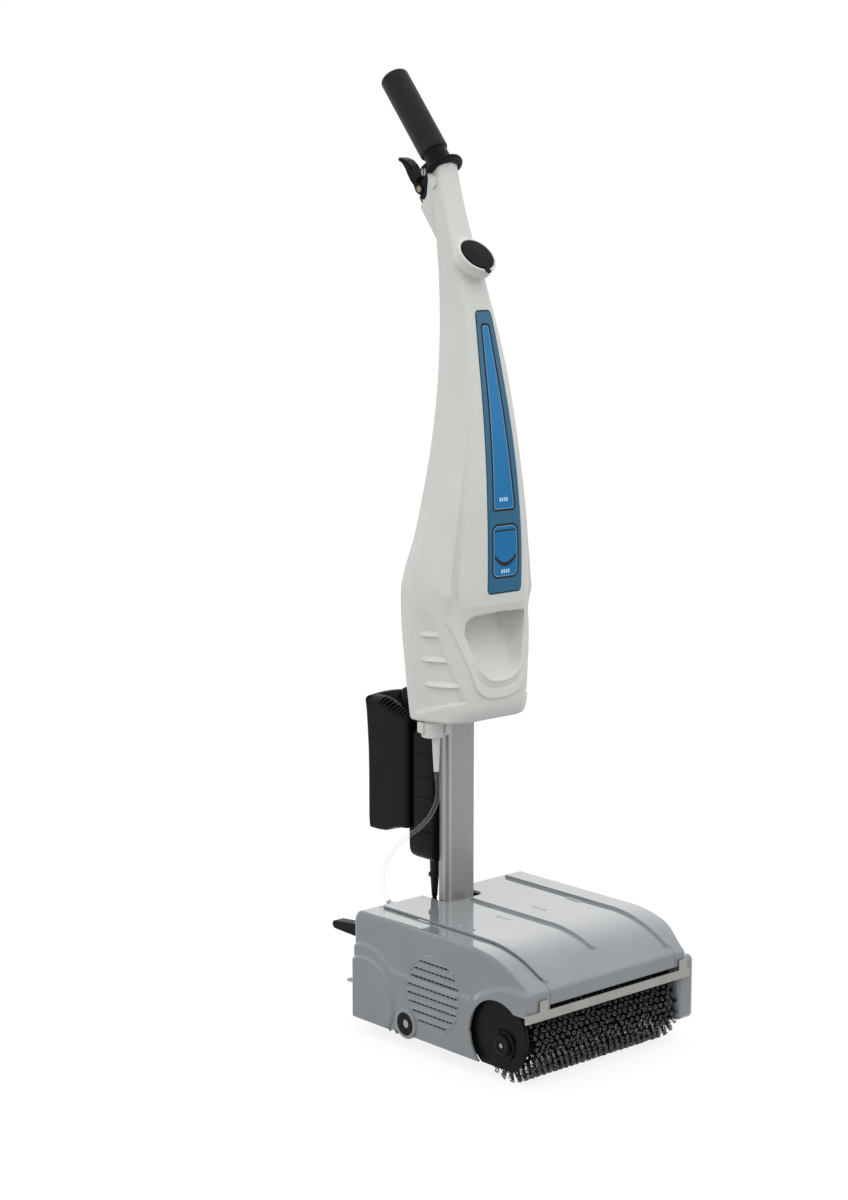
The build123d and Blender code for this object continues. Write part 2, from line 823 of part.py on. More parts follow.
def column_screws():
    """Screw heads down the right side of the column, below the tank."""
    heads = []
    for index in range(4):
        z = dock_top - 30.0 - 22.0 * index
        heads.append(rod(column_right, column_right + screw_head, column_y, z, screw_radius))
    return Compound(children=heads)


# Tank
def tank_section(row, grow):
    """Level section of the tank: straight back and sides, and a crowned front."""
    height, half, nose, crown, rear, corner = row
    half += grow
    nose -= grow
    rear += grow
    shoulder = nose + crown
    outline = make_face(
        [
            Line((half, shoulder), (half, rear)),
            Line((half, rear), (-half, rear)),
            Line((-half, rear), (-half, shoulder)),
            ThreePointArc((-half, shoulder), (0, nose), (half, shoulder)),
        ]
    )
    outline = fillet(outline.vertices(), corner + grow)
    return Pos(handle_x, 0, height) * outline


def tank_body(rows, grow):
    return loft([tank_section(row, grow) for row in rows])


def raised(row, rise):
    return (row[0] + rise, *row[1:])


def tank_pocket(grow):
    """Hand recess in the lower front, with a sloping floor."""
    top = pocket_top + grow
    bottom = pocket_bottom - grow
    half_top = pocket_half_top + grow
    half_bottom = pocket_half_bottom + grow
    front = tank_rows[4][2] - 30.0
    back = tank_rows[4][2] + pocket_depth + grow
    mouth = Polygon(
        (-half_top, top), (half_top, top), (half_top, top - 25), (half_bottom, bottom), (-half_bottom, bottom),
        (-half_top, top - 25), align=None
    )
    mouth = fillet(mouth.vertices(), 8.0)
    wall = Plane(origin=(handle_x, back, 0), x_dir=(1, 0, 0), z_dir=(0, -1, 0))
    recess = extrude(wall * mouth, amount=back - front, dir=(0, -1, 0))
    slope = Polygon(
        (front, bottom - 5), (tank_rows[4][2] + 1 + grow, bottom - 5), (back + 30, top + 30), (front, top + 30),
        align=None
    )
    return recess & along_x(slope, -200, 200)


def shroud():
    """Wedge behind the neck that covers the lever's cable."""
    outline = Polygon(
        (100, 1030), (117, 1030), (123, 1006), (134, 989), (103, 950), (80, 950), (88, 1000), align=None
    )
    return along_x(outline, handle_x - 12, handle_x + 12)


def tank_shell():
    """Hollow tank that narrows into the neck, with the filler boss, hand recess and cable wedge."""
    shell = tank_body(tank_rows, 0)
    shell += on_filler(Pos(0, 0, -filler_boss_length / 2) * Cylinder(filler_boss_radius, filler_boss_length))
    shell += shroud()
    above_neck = on_grip(Pos(0, 0, 50) * Box(120, 120, 100), -neck_below)
    shell -= above_neck
    shell -= tank_pocket(0)
    rows = [raised(tank_rows[0], tank_wall), *tank_rows[1:]]
    cavity = tank_body(rows, -tank_wall) & block(-200, 200, -200, 200, 0, neck_solid_from)
    cavity -= tank_pocket(tank_wall)
    bore_length = filler_boss_length - 2.0
    bore = on_filler(Pos(0, 0, -bore_length / 2) * Cylinder(cap_plug_radius + cap_fit, bore_length))
    seat_depth = cap_thickness + cap_sink + cap_fit
    seat = on_filler(Pos(0, 0, -seat_depth / 2) * Cylinder(cap_radius + cap_fit, seat_depth))
    core_bore = on_grip(
        Pos(0, 0, core_below / 2) * Cylinder(core_radius + running_fit, core_below), -core_below
    )
    socket = extrude(column_section(-running_fit), amount=column_insert + running_fit)
    socket += extrude(column_section(-running_fit), amount=-1.0)
    socket = Pos(handle_x, column_y, tank_bottom) * socket
    sleeve_height = column_insert + 2 * tank_wall
    sleeve = Pos(handle_x, column_y, tank_bottom) * extrude(column_section(-tank_wall), amount=sleeve_height)
    spigot_hole = post(valve_x, valve_y, tank_bottom - 5, tank_bottom + 12, spigot_radius + 0.05, spigot_radius + 0.05)
    cable_hole, _ = tube_path(valve_cable_route[:6])
    cable_start = Plane(origin=cable_hole @ 0, z_dir=cable_hole % 0)
    cable_room = sweep(cable_start * Circle(valve_cable_radius + 1.0), path=cable_hole)
    shell -= cavity - sleeve
    return shell - [bore, seat, core_bore, socket, spigot_hole, cable_room]


def tank_panel():
    """Thin blue panel that follows the front of the tank."""
    skin = tank_body(tank_rows, panel_lift + panel_thickness) - tank_body(tank_rows, panel_lift)
    outline = Polygon(
        (-panel_half_top, panel_top), (panel_half_top, panel_top),
        (panel_half_bottom, panel_bottom + 90), (panel_half_bottom, panel_bottom),
        (-panel_half_bottom, panel_bottom), (-panel_half_bottom, panel_bottom + 90), align=None
    )
    outline = fillet(outline.vertices(), 5.0)
    front = Plane(origin=(handle_x, 45, 0), x_dir=(1, 0, 0), z_dir=(0, -1, 0))
    return skin & extrude(front * outline, amount=90, dir=(0, -1, 0))


def filler_cap():
    """Push-in cap with a small pull tab at its lower edge."""
    cap = Pos(0, 0, -cap_sink - cap_thickness / 2) * Cylinder(cap_radius, cap_thickness)
    plug_at = -cap_sink - cap_thickness - cap_plug_length / 2
    cap += Pos(0, 0, plug_at) * Cylinder(cap_plug_radius, cap_plug_length)
    tab_reach = filler_boss_radius + 5.0
    tab = Pos(0, -tab_reach / 2 - 5.0, 1.1) * Box(5.0, tab_reach - 10.0, 1.6)
    tab += Pos(0, -cap_radius / 2 - 2.0, 0.0) * Box(5.0, cap_radius - 6, 2.0)
    return on_filler(cap + Rot(0, 0, 15) * tab)


# Grip and lever
def grip_core():
    length = core_below + grip_length - grip_end_wall
    return on_grip(Pos(0, 0, length / 2) * Cylinder(core_radius, length), -core_below)


def grip():
    """Black grip with a rounded end, closed over its core."""
    body = Pos(0, 0, grip_length / 2) * Cylinder(grip_radius, grip_length)
    body = fillet(body.edges().sort_by(Axis.Z)[-1], 6.0)
    body = fillet(body.edges().sort_by(Axis.Z)[0], 1.2)
    room = grip_length - grip_end_wall + running_fit
    body -= Pos(0, 0, room / 2) * Cylinder(core_radius + running_fit, room)
    return on_grip(body, 1.0)


def lever_face():
    face = link(lever_tip, 3.2, lever_bend, 5.0)
    face += link(lever_bend, 5.0, lever_barrel, 7.0)
    face += link((lever_bend[0] - 3, lever_bend[1] - 5), 4.0, lever_pivot, 6.0)
    face -= disc(*lever_barrel, barrel_radius + running_fit / 2)
    return face - disc(*lever_pivot, lever_pin_radius + running_fit)


def trigger_lever():
    return along_x(lever_face(), handle_x - lever_width / 2, handle_x + lever_width / 2)


def lever_pin():
    half = lever_width / 2 + part_gap + fork_wall + 1.0
    return rod(handle_x - half, handle_x + half, *lever_pivot, lever_pin_radius)


def cable_barrel():
    half = lever_width / 2 + 1.5
    return rod(handle_x - half, handle_x + half, *lever_barrel, barrel_radius)


def lever_bracket():
    """Clamp ring under the grip, with a forked ear for the lever and a hooked guard in front."""
    ring_length = neck_below - collar_length
    ring = Pos(0, 0, ring_length / 2) * Cylinder(ring_radius, ring_length)
    collar = Pos(0, 0, ring_length + collar_length / 2) * Cylinder(collar_radius, collar_length)
    guard = Pos(0, -ring_radius - 6, ring_length - 3) * Box(24, 26, 6)
    guard = fillet(guard.edges().filter_by(Axis.Z), 8.0)
    hook = Pos(0, -ring_radius - 16.5, ring_length - 6) * Box(20, 5, 12)
    hook = fillet(hook.edges().filter_by(Axis.X), 2.0)
    body = on_grip(ring + collar + guard + hook, -neck_below + 0.1)
    base = (grip_base_y - grip_axis[0] * 12.0, grip_base_z - grip_axis[1] * 12.0)
    fork = along_x(
        link(base, 7.5, lever_pivot, 6.0),
        handle_x - lever_width / 2 - part_gap - fork_wall,
        handle_x + lever_width / 2 + part_gap + fork_wall,
    )
    gap_half = lever_width / 2 + part_gap
    lever_room = along_x(disc(*lever_pivot, 11.0), handle_x - gap_half, handle_x + gap_half)
    body += fork - lever_room
    bore = on_grip(Cylinder(core_radius + running_fit, 200), 0)
    return body - bore - rod(-100, 100, *lever_pivot, lever_pin_radius + running_fit / 2)


# Valve and hose
def nozzle_axis():
    """The nozzle points along the first run of the hose."""
    start = Vector(*hose_route[0])
    return start, (start - Vector(*hose_route[1])).normalized()


def valve_body():
    """Outlet nut under the tank, with a spigot through its floor."""
    bottom = tank_bottom - valve_height
    body = post(valve_x, valve_y, bottom, tank_bottom, valve_radius - 1.5, valve_radius)
    top = tank_bottom + spigot_length
    body += post(valve_x, valve_y, tank_bottom, top, spigot_radius, spigot_radius)
    bore = plunger_radius + plunger_fit
    return body - post(valve_x, valve_y, bottom + 6, top + 1, bore, bore)


def valve_plunger():
    """Stem that rests in the valve with its head on the spigot."""
    seat = tank_bottom + spigot_length
    stem = post(valve_x, valve_y, tank_bottom - valve_height + 6 + plunger_fit, seat + 1, plunger_radius, plunger_radius)
    return stem + post(valve_x, valve_y, seat + plunger_fit, seat + 4, plunger_radius + 2, plunger_radius + 2)


def valve_nozzle():
    """Tapered outlet from the valve to the hose."""
    tip, up = nozzle_axis()
    bottom = tank_bottom - valve_height
    length = (bottom - tip.Z) / up.Z + 2.0
    cone = Plane(origin=tip, z_dir=up) * Pos(0, 0, length / 2) * Cone(nozzle_tip_radius, nozzle_top_radius, length)
    return cone & block(-200, 200, -200, 200, 0, bottom)


def supply_hose():
    return tube("supply_hose", hose_route, hose_radius)


def valve_cable():
    return tube("valve_cable", valve_cable_route, valve_cable_radius)


# Battery
def battery_dock():
    """Holder on the rear of the column, with a rail for the pack, side grooves and a chin below."""
    left = handle_x - dock_width / 2
    right = handle_x + dock_width / 2
    holder = block(left, right, dock_front, dock_rear, dock_bottom, dock_top)
    holder = fillet(holder.edges().filter_by(Axis.Z), 5.0)
    chin = block(left + 2, right - 2, dock_front, dock_front + chin_depth, chin_bottom, dock_bottom + 1)
    chin = chamfer(chin.edges().filter_by(Axis.X).sort_by(Axis.Z)[:2].sort_by(Axis.Y)[-1], 9.0)
    rail = block(
        handle_x - rail_width / 2,
        handle_x + rail_width / 2,
        dock_rear - 1,
        dock_rear + rail_depth,
        dock_bottom + rail_inset,
        dock_top - rail_inset,
    )
    holder += [chin, rail]
    for index in range(4):
        z = dock_top - 36.0 - 24.0 * index
        for x in (left, right):
            holder -= block(x - 1, x + 1, dock_front + 8, dock_rear - 4, z - 1, z + 1)
    return holder - post(relief_x, relief_y, 0, chin_bottom + 8, relief_top_radius, relief_top_radius)


def battery_pack():
    """Pack with a sloping top, a carrying recess and a slot for the dock's rail, open at the bottom."""
    front = dock_rear + battery_fit
    rear = front + battery_depth
    left = handle_x - battery_width / 2
    right = handle_x + battery_width / 2
    side = Polygon(
        (front, battery_bottom + 6), (front + 8, battery_bottom), (rear - 14, battery_bottom),
        (rear - 4, battery_bottom + 10), (rear - 4, battery_bottom + 110), (rear, battery_rear_top),
        (front + 20, battery_front_top), (front, battery_front_top - 26), align=None
    )
    pack = along_x(side, left, right)
    pack = fillet(pack.faces().sort_by(Axis.X)[0].edges() + pack.faces().sort_by(Axis.X)[-1].edges(), 3.0)
    slot_top = dock_top - rail_inset + battery_fit
    slot_half = rail_width / 2 + battery_fit
    pack -= block(
        handle_x - slot_half, handle_x + slot_half, front - 1, front + rail_depth + battery_fit, 0, slot_top
    )
    grip_y = front + latch_y_inset + latch_depth + 10.0
    pack -= block(handle_x - 20, handle_x + 20, grip_y, grip_y + 22, battery_rear_top - 14, battery_front_top + 5)
    return pack - latch_block(battery_fit, latch_travel + battery_fit, battery_front_top + 5)


def latch_block(side_room, foot_room, top):
    """The latch's own space in the top of the pack, with room round it and under it."""
    y0 = dock_rear + battery_fit + latch_y_inset
    return block(
        handle_x - latch_width / 2 - side_room,
        handle_x + latch_width / 2 + side_room,
        y0 - side_room,
        y0 + latch_depth + side_room,
        battery_front_top - latch_height - foot_room,
        top,
    )


def battery_latch():
    body = latch_block(0, 0, battery_front_top + 1.0)
    return fillet(body.edges().filter_by(Axis.Z), 2.0)


def strain_relief():
    """Tapered sleeve under the dock, with a collar."""
    relief = post(relief_x, relief_y, relief_bottom, chin_bottom + 8, relief_tip_radius, relief_top_radius - 0.02)
    relief += post(relief_x, relief_y, 176.0, 180.0, relief_top_radius + 1, relief_top_radius + 1)
    return relief


def battery_cable():
    return tube("battery_cable", cable_route, cable_radius)


def main():
    os.makedirs("parts", exist_ok=True)
    save("chassis", chassis())
    save("hood", hood())
    save("left_side_cover", left_side_cover())
    save("right_side_cover", right_side_cover())
    save_pair("left_louvre", "right_louvre", louvre())
    save("front_guard_bar", front_guard_bar())
    save("rear_splash_plate", rear_splash_plate())
    save("front_end_plate", end_plate())
    save("rear_end_plate", rear_end_plate())
    save_pair("front_hub_cap", "rear_hub_cap", hub_cap())
    save_pair("front_bearings", "rear_bearings", bearings())
    save_pair("front_brush_core", "rear_brush_core", brush_core())
    save_pair("front_bristles", "rear_bristles", bristles())
    save_pair("front_brush_pulley", "rear_brush_pulley", brush_pulley())
    save_pair("front_motor", "rear_motor", motor())
    save_pair("front_rotor", "rear_rotor", rotor())
    save_pair("front_belt", "rear_belt", belt())
    save("control_box", control_box())
    save("spray_bar", spray_bar())
    save("hose_inlet", hose_inlet())
    save("axle_bushes", axle_bushes())
    save("axle_shaft", axle_shaft())
    save("wheel_arms", wheel_arms())
    save("wheel_axle", wheel_axle())
    save("left_wheel", left_wheel())
    save("right_wheel", mirror(left_wheel(), Plane.YZ))
    save("foot_pedal", foot_pedal())
    save("pedal_pin", pedal_pin())
    save("pivot_pin", pivot_pin())
    save("column", column())
    save("column_foot", column_foot())
    save("column_screws", column_screws())
    save("tank_shell", tank_shell())
    save("tank_panel", tank_panel())
    save("filler_cap", filler_cap())
    save("grip_core", grip_core())
    save("grip", grip())
    save("lever_bracket", lever_bracket())
    save("trigger_lever", trigger_lever())
    save("lever_pin", lever_pin())
    save("cable_barrel", cable_barrel())
    save("valve_body", valve_body())
    save("valve_plunger", valve_plunger())
    save("valve_nozzle", valve_nozzle())
    save("valve_cable", valve_cable())
    save("supply_hose", supply_hose())
    save("battery_dock", battery_dock())
    save("battery_pack", battery_pack())
    save("battery_latch", battery_latch())
    save("strain_relief", strain_relief())
    save("battery_cable", battery_cable())


main()
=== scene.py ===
"""Dresses the floor scrubber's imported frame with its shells, brushes, hose, finishes, camera and light.

Sizes are written in millimetres, as in the part's source, and become metres when a piece is made.
"""

from math import atan2, cos, hypot, pi, radians, sin, sqrt, tan

import bmesh
import bpy
import numpy as np
from mathutils import Matrix, Vector


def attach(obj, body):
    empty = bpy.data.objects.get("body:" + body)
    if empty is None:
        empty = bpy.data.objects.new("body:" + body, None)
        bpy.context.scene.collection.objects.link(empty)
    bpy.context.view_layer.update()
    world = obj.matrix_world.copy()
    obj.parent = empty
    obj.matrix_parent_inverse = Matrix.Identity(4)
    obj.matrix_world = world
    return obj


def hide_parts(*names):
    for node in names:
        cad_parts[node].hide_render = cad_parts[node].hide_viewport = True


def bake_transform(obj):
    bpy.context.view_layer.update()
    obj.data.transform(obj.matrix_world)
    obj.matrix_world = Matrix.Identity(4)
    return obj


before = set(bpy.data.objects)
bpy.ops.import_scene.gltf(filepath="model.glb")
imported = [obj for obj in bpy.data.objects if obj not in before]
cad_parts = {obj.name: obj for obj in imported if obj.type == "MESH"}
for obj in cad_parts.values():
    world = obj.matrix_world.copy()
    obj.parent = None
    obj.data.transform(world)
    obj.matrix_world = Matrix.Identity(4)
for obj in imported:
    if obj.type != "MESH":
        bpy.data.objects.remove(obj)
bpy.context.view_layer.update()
scene = bpy.context.scene
millimetre = 0.001
random = np.random.default_rng(7)

# Camera at the photograph's viewing angle
camera_place = (-2.0024, -2.1083, 1.0020)
camera_turn = (radians(80.73), 0.0, radians(-41.73))
camera_lens = 74.31
camera_sensor = 36.0

# Cord routes, as in the part's source
hose_route = [
    (-52.0, 56.0, 318.0),
    (-52.5, 51.5, 300.3),
    (-53.0, 53.0, 281.4),
    (-55.8, 62.0, 261.5),
    (-58.5, 78.4, 244.4),
    (-61.2, 97.4, 230.5),
    (-64.0, 117.4, 213.0),
    (-66.6, 132.3, 192.2),
    (-69.2, 137.6, 172.5),
    (-72.0, 132.2, 155.5),
    (-74.0, 119.0, 145.5),
]
hose_radius = 3.0
cable_route = [
    (-17.0, 98.0, 146.5),
    (-17.0, 98.0, 130.5),
    (-17.0, 94.0, 114.0),
    (-17.0, 94.0, 98.0),
]
cable_radius = 3.0

# Head casing
head_half_width = 135.0
head_top = 150.0
head_rear = 112.0
head_front = -194.0
casing_wall = 3.0
casing_bottom = 17.4
foot_corner = 6.0
rear_edge_radius = 14.0
side_edge_radius = 7.5
side_edge_width = 2.2
rear_side_radius = 4.0
hood_fall_start = -93.0
hood_fall_radius = 165.0
lip_bottom = 98.5
lip_round = 5.0
seam_edge = 106.5
seam_front_edge = 103.4
seam_gap = 0.7
ridge_inner = 97.4
ridge_half_width = 4.3
ridge_height = 3.2
ridge_rear = 95.0
ridge_front = -186.0
middle_ridge_front = -162.0
middle_ridge_rear = 47.4
slot_places = (-88.0, -29.0, 31.0, 90.0)
slot_y = -37.5
slot_half_length = 12.5
slot_half_width = 3.0
slot_depth = 0.8
notch_left = -34.0
notch_right = 29.0
notch_front = 55.9
notch_corner = 10.0
skirt_step = 3.4
skirt_top = 91.0
# Arches and fender of the left cover: y, z and radius
closed_arch = (86.5, 45.0, 52.5)
closed_arch_outer = (88.0, 57.3, 55.8)
open_arch = (-142.0, 52.0, 45.5)
fender_rear = (-142.0, 52.0, 59.0)
fender_front = (-165.0, 60.0, 60.0)
open_side_top = 88.0
bulge_step = 6.5
# Middle of the head and its side outline
head_middle = (head_front + head_rear) / 2
lip_start = (head_top - hood_fall_radius) + sqrt(
    (hood_fall_radius - lip_round) ** 2 - (head_front + lip_round - hood_fall_start) ** 2
)
path_spacing = 1.25
# Air grille of the left cover
louvre_y = -33.0
louvre_height = 77.3
louvre_radius = 45.7
louvre_slots = 8
louvre_pitch = 10.26
louvre_opening = 2.8
web_pitch = 7.3
web_half_width = 0.55
web_half_height = 1.6
# Axle of the carriage
axle_y = 13.2
axle_height = 31.0

# Tank: rows of height, half width, nose y, flat half width, corner drop, rear y, rear corner radius
handle_x = -9.5
tank_rows = np.array([
    (378.0, 61.5, 0.0, 44.0, 12.0, 90.0, 13.0),
    (390.0, 62.8, -6.0, 44.0, 15.0, 91.5, 14.0),
    (412.0, 64.3, -9.5, 43.0, 18.0, 94.0, 15.0),
    (444.0, 65.3, -12.5, 41.0, 22.0, 98.0, 16.0),
    (519.0, 65.9, -14.5, 38.5, 25.0, 105.3, 17.0),
    (541.0, 65.7, -15.7, 38.2, 25.0, 104.6, 17.0),
    (551.0, 65.0, -16.0, 38.0, 25.0, 102.6, 17.0),
    (604.0, 58.7, -15.7, 35.6, 22.5, 87.6, 16.0),
    (654.0, 52.0, -12.2, 33.6, 18.0, 78.7, 14.0),
    (704.0, 44.3, -6.7, 31.6, 13.0, 73.3, 12.0),
    (804.0, 29.8, 10.6, 24.6, 3.6, 72.0, 8.0),
    (904.0, 19.8, 34.5, 9.5, 4.4, 80.6, 5.0),
    (964.0, 17.3, 58.0, 6.0, 4.4, 88.6, 4.0),
    (1012.0, 15.9, 73.5, 4.5, 4.4, 96.4, 4.0),
    (1064.0, 15.4, 91.0, 4.5, 4.4, 111.0, 4.0),
])
tank_foot_round = 4.0
tank_foot_lift = 7.5
# Hand pocket and ledge in the front view: foot, half width there, lean of the sides, widest half, foot bend
mouth_bowl = (434.0, 28.5, 0.34, 48.0, 22.0)
ledge_inner_bowl = (420.6, 35.0, 0.253, 61.0, 32.0)
ledge_outer_bowl = (407.4, 33.0, 0.336, 66.0, 24.0)
ledge_height = 1.9
ledge_foot_extra = 0.4
mouth_crown = 515.4
mouth_end = 36.0
mouth_end_round = 11.0
mouth_bow = 2.0
# Heights with a value at each: depth of the pocket's lip and floor
pocket_lip = (
    [436.0, 446.0, 456.0, 474.0, 490.0, 504.0, 513.0, 526.0],
    [-0.6, 0.0, 2.0, 5.0, 5.8, 5.0, 3.2, 0.0],
)
pocket_floor = ([434.0, 460.0, 505.0, 520.0], [9.0, 20.0, 38.0, 42.0])
# Heights with a value at each: y where the side recess starts to go in and where it is deep
recess_start = (
    [407.0, 427.0, 449.0, 467.0, 490.0, 508.0, 516.0, 521.0],
    [-4.9, -1.1, 6.3, 15.8, 23.9, 32.7, 39.8, 62.0],
)
recess_end = (
    [407.0, 427.0, 439.0, 464.0, 473.0, 490.0, 508.0, 521.0],
    [-0.5, 4.4, 9.4, 21.6, 27.5, 38.0, 48.6, 74.0],
)
recess_depth = 5.0
# Ribs in the recess: y and z of the rear end, y and z of the front end
recess_ribs = ((67.0, 486.2, 23.6, 490.4), (64.0, 456.2, 8.6, 461.6), (60.0, 426.6, -1.4, 432.0))
# Step from the sides down to the front: heights, y and distance from the middle, and how high it stands
step_levels = [520.0, 546.0, 557.0, 575.0, 593.0, 628.0, 674.0, 720.0, 767.0, 813.0, 860.0]
step_y = [6.0, 9.4, 9.2, 8.5, 7.8, 5.9, 6.7, 7.7, 10.1, 13.6, 21.0]
step_x = [59.5, 60.5, 60.0, 58.4, 56.7, 52.2, 45.3, 38.4, 32.0, 26.6, 21.0]
step_rise = ([515.0, 538.0, 600.0, 680.0, 760.0, 860.0], [0.0, 4.2, 3.0, 1.6, 0.8, 0.0])
# Blue panel, filler and grip
panel_x = handle_x + 1.2
panel_bottom = 539.0
panel_top = 870.0
panel_half_width = 28.9
panel_narrowing = 15.4
panel_taper_start = 590.0
panel_taper_length = 276.0
panel_taper_bend = 1.45
panel_proud = 0.5
filler_y = 31.9
filler_height = 934.4
filler_tilt = radians(43.0)
filler_place = (handle_x, filler_y, filler_height)
filler_axis = (0.0, -cos(filler_tilt), sin(filler_tilt))
filler_radius = 25.5
boss_low = 870.0
boss_high = 985.0
boss_blend = 6.0
boss_taper = 0.38
cap_radius = 21.9
grip_base_y = 109.7
grip_base_z = 1055.5
grip_lean = radians(39.3)
grip_place = (handle_x, grip_base_y, grip_base_z)
grip_axis = (0.0, sin(grip_lean), cos(grip_lean))
grip_radius = 17.5
grip_length = 113.0
neck_top = 30.5

# Brushes
brush_radius = 46.0
sleeve_radius = 24.0
bristle_length = 236.0
hub_x = 131.2
front_axis_y = -148.0
rear_axis_y = 66.0
axis_z = 45.5


# Small mesh tools
def soft(start, end, value):
    """0 before start, 1 after end and a smooth rise between; also works downwards."""
    share = np.clip((np.asarray(value, float) - start) / (np.asarray(end) - start), 0.0, 1.0)
    return share * share * (3.0 - 2.0 * share)


def soft_max(values, softness):
    """The largest of several arrays, with rounded corners."""
    stack = np.stack(values) / softness
    top = stack.max(axis=0)
    return softness * (top + np.log(np.exp(stack - top).sum(axis=0)))


def rounded(corners, radii, steps=10):
    """A line through corners, each inner corner drawn as an arc of its radius."""
    points = [np.array(corners[0], float)]
    for before, corner, after, radius in zip(corners, corners[1:], corners[2:], radii):
        corner = np.array(corner, float)
        back = np.array(before, float) - corner
        on = np.array(after, float) - corner
        back /= np.linalg.norm(back)
        on /= np.linalg.norm(on)
        half = np.arccos(np.clip(back @ on, -1.0, 1.0)) / 2
        middle = corner + (back + on) / np.linalg.norm(back + on) * radius / sin(half)
        start = corner + back * radius / tan(half) - middle
        end = corner + on * radius / tan(half) - middle
        sweep = pi - 2 * half
        for step in range(steps + 1):
            share = step / steps
            arm = (sin((1 - share) * sweep) * start + sin(share * sweep) * end) / sin(sweep)
            points.append(middle + arm)
    points.append(np.array(corners[-1], float))
    return np.array(points)


def evenly(line, count):
    """The same line with evenly spaced points."""
    lengths = np.concatenate([[0.0], np.cumsum(np.linalg.norm(np.diff(line, axis=0), axis=1))])
    places = np.linspace(0.0, lengths[-1], count)
    return np.stack([np.interp(places, lengths, line[:, axis]) for axis in range(line.shape[1])], -1)


def ring(corners, radii, steps=8):
    """A closed outline with rounded corners."""
    start = [(np.array(corners[-1], float) + np.array(corners[0], float)) / 2]
    line = rounded(start + list(corners) + start, radii, steps)
    return line[:-1]


def grid_faces(rows, columns, wrap=False, start=0):
    """Faces of a grid of points that are stored row by row."""
    row = np.arange(rows - 1)[:, None]
    column = np.arange(columns if wrap else columns - 1)[None, :]
    after = (column + 1) % columns
    corners = [row * columns + column, row * columns + after]
    corners += [(row + 1) * columns + after, (row + 1) * columns + column]
    size = (rows - 1, column.shape[1])
    return np.stack([np.broadcast_to(corner, size) for corner in corners], -1).reshape(-1, 4) + start


def piece(name, points, faces, finish, body=None, replaces=(), crease=35.0):
    """A mesh piece in millimetres that rides on a body and may stand for CAD nodes."""
    data = bpy.data.meshes.new(name)
    places = np.asarray(points, float) * millimetre
    data.from_pydata(places.tolist(), [], [list(map(int, face)) for face in faces])
    data.validate()
    data.materials.append(finish)
    data.shade_smooth()
    if crease:
        data.set_sharp_from_angle(angle=radians(crease))
    item = bpy.data.objects.new(name, data)
    scene.collection.objects.link(item)
    if body:
        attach(item, body)
    if replaces:
        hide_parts(*replaces)
    return item


def modify(item, kind, **settings):
    """Adds a modifier with its settings."""
    modifier = item.modifiers.new(kind.lower(), kind)
    for key, value in settings.items():
        setattr(modifier, key, value)
    return modifier


def soften(item, width, segments=3, angle=40.0):
    """Rounds the sharp edges of a piece or a CAD node."""
    modify(item, "WELD", merge_threshold=0.00002)
    modify(
        item,
        "BEVEL",
        width=width * millimetre,
        segments=segments,
        limit_method="ANGLE",
        angle_limit=radians(angle),
        use_clamp_overlap=True,
        harden_normals=True,
    )


def thicken(item, wall, edge):
    """Gives a shell its wall inwards and rounds the rim."""
    modify(item, "SOLIDIFY", thickness=wall * millimetre, offset=-1.0, use_even_offset=True)
    modify(item, "BEVEL", width=edge * millimetre, segments=2, limit_method="ANGLE", angle_limit=radians(55))


def turn_frame(origin, axis):
    """Matrix that takes +Z to an axis at an origin, with X kept level."""
    up = Vector(axis).normalized()
    side = Vector((1, 0, 0)) if abs(up.x) < 0.9 else Vector((0, 1, 0))
    side = (side - up * side.dot(up)).normalized()
    across = up.cross(side)
    turn = Matrix((side, across, up)).transposed()
    return np.array(turn), np.array(origin, float)


def lathe(profile, origin, axis, sides=64, closed=False):
    """Points and faces of a turned shape; the profile is radius and distance along the axis."""
    profile = np.asarray(profile, float)
    turn, origin = turn_frame(origin, axis)
    angles = np.arange(sides) * 2 * pi / sides
    radius = profile[:, 0][:, None]
    along = np.broadcast_to(profile[:, 1][:, None], (len(profile), sides))
    points = np.stack([radius * np.cos(angles), radius * np.sin(angles), along], -1).reshape(-1, 3)
    points = points @ turn.T + origin
    faces = grid_faces(len(profile), sides, wrap=True).tolist()
    if closed:
        last = (len(profile) - 1) * sides
        faces += [[last + i, last + (i + 1) % sides, (i + 1) % sides, i] for i in range(sides)]
    else:
        if profile[0, 0] > 0:
            faces.append(list(range(sides))[::-1])
        if profile[-1, 0] > 0:
            faces.append(list(range((len(profile) - 1) * sides, len(profile) * sides)))
    return points, faces


def prism(outline, x0, x1):
    """Points and faces of a flat outline in Y and Z, drawn out along X."""
    count = len(outline)
    points = [(x, y, z) for x in (x0, x1) for y, z in outline]
    faces = [[i, (i + 1) % count, count + (i + 1) % count, count + i] for i in range(count)]
    faces += [list(range(count))[::-1], list(range(count, 2 * count))]
    return np.array(points), faces


def slab(outline, low, high, place, axis):
    """Points and faces of a flat outline, drawn out along an axis between two heights over a place."""
    turn, origin = turn_frame(place, axis)
    points, faces = prism(outline, low, high)
    return np.roll(points, -1, axis=1) @ turn.T + origin, faces


def loft(sections):
    """Points and faces of a skin through closed sections, with end caps."""
    points = np.concatenate(sections)
    count = len(sections[0])
    faces = grid_faces(len(sections), count, wrap=True).tolist()
    faces.append(list(range(count))[::-1])
    faces.append(list(range(len(points) - count, len(points))))
    return points, faces


def rounded_box_ring(x0, x1, y0, y1, corner, height):
    """One level of a box with rounded upright edges."""
    flat = ring([(x0, y0), (x0, y1), (x1, y1), (x1, y0)], [corner] * 4, steps=6)
    return np.column_stack([flat, np.full(len(flat), height)])


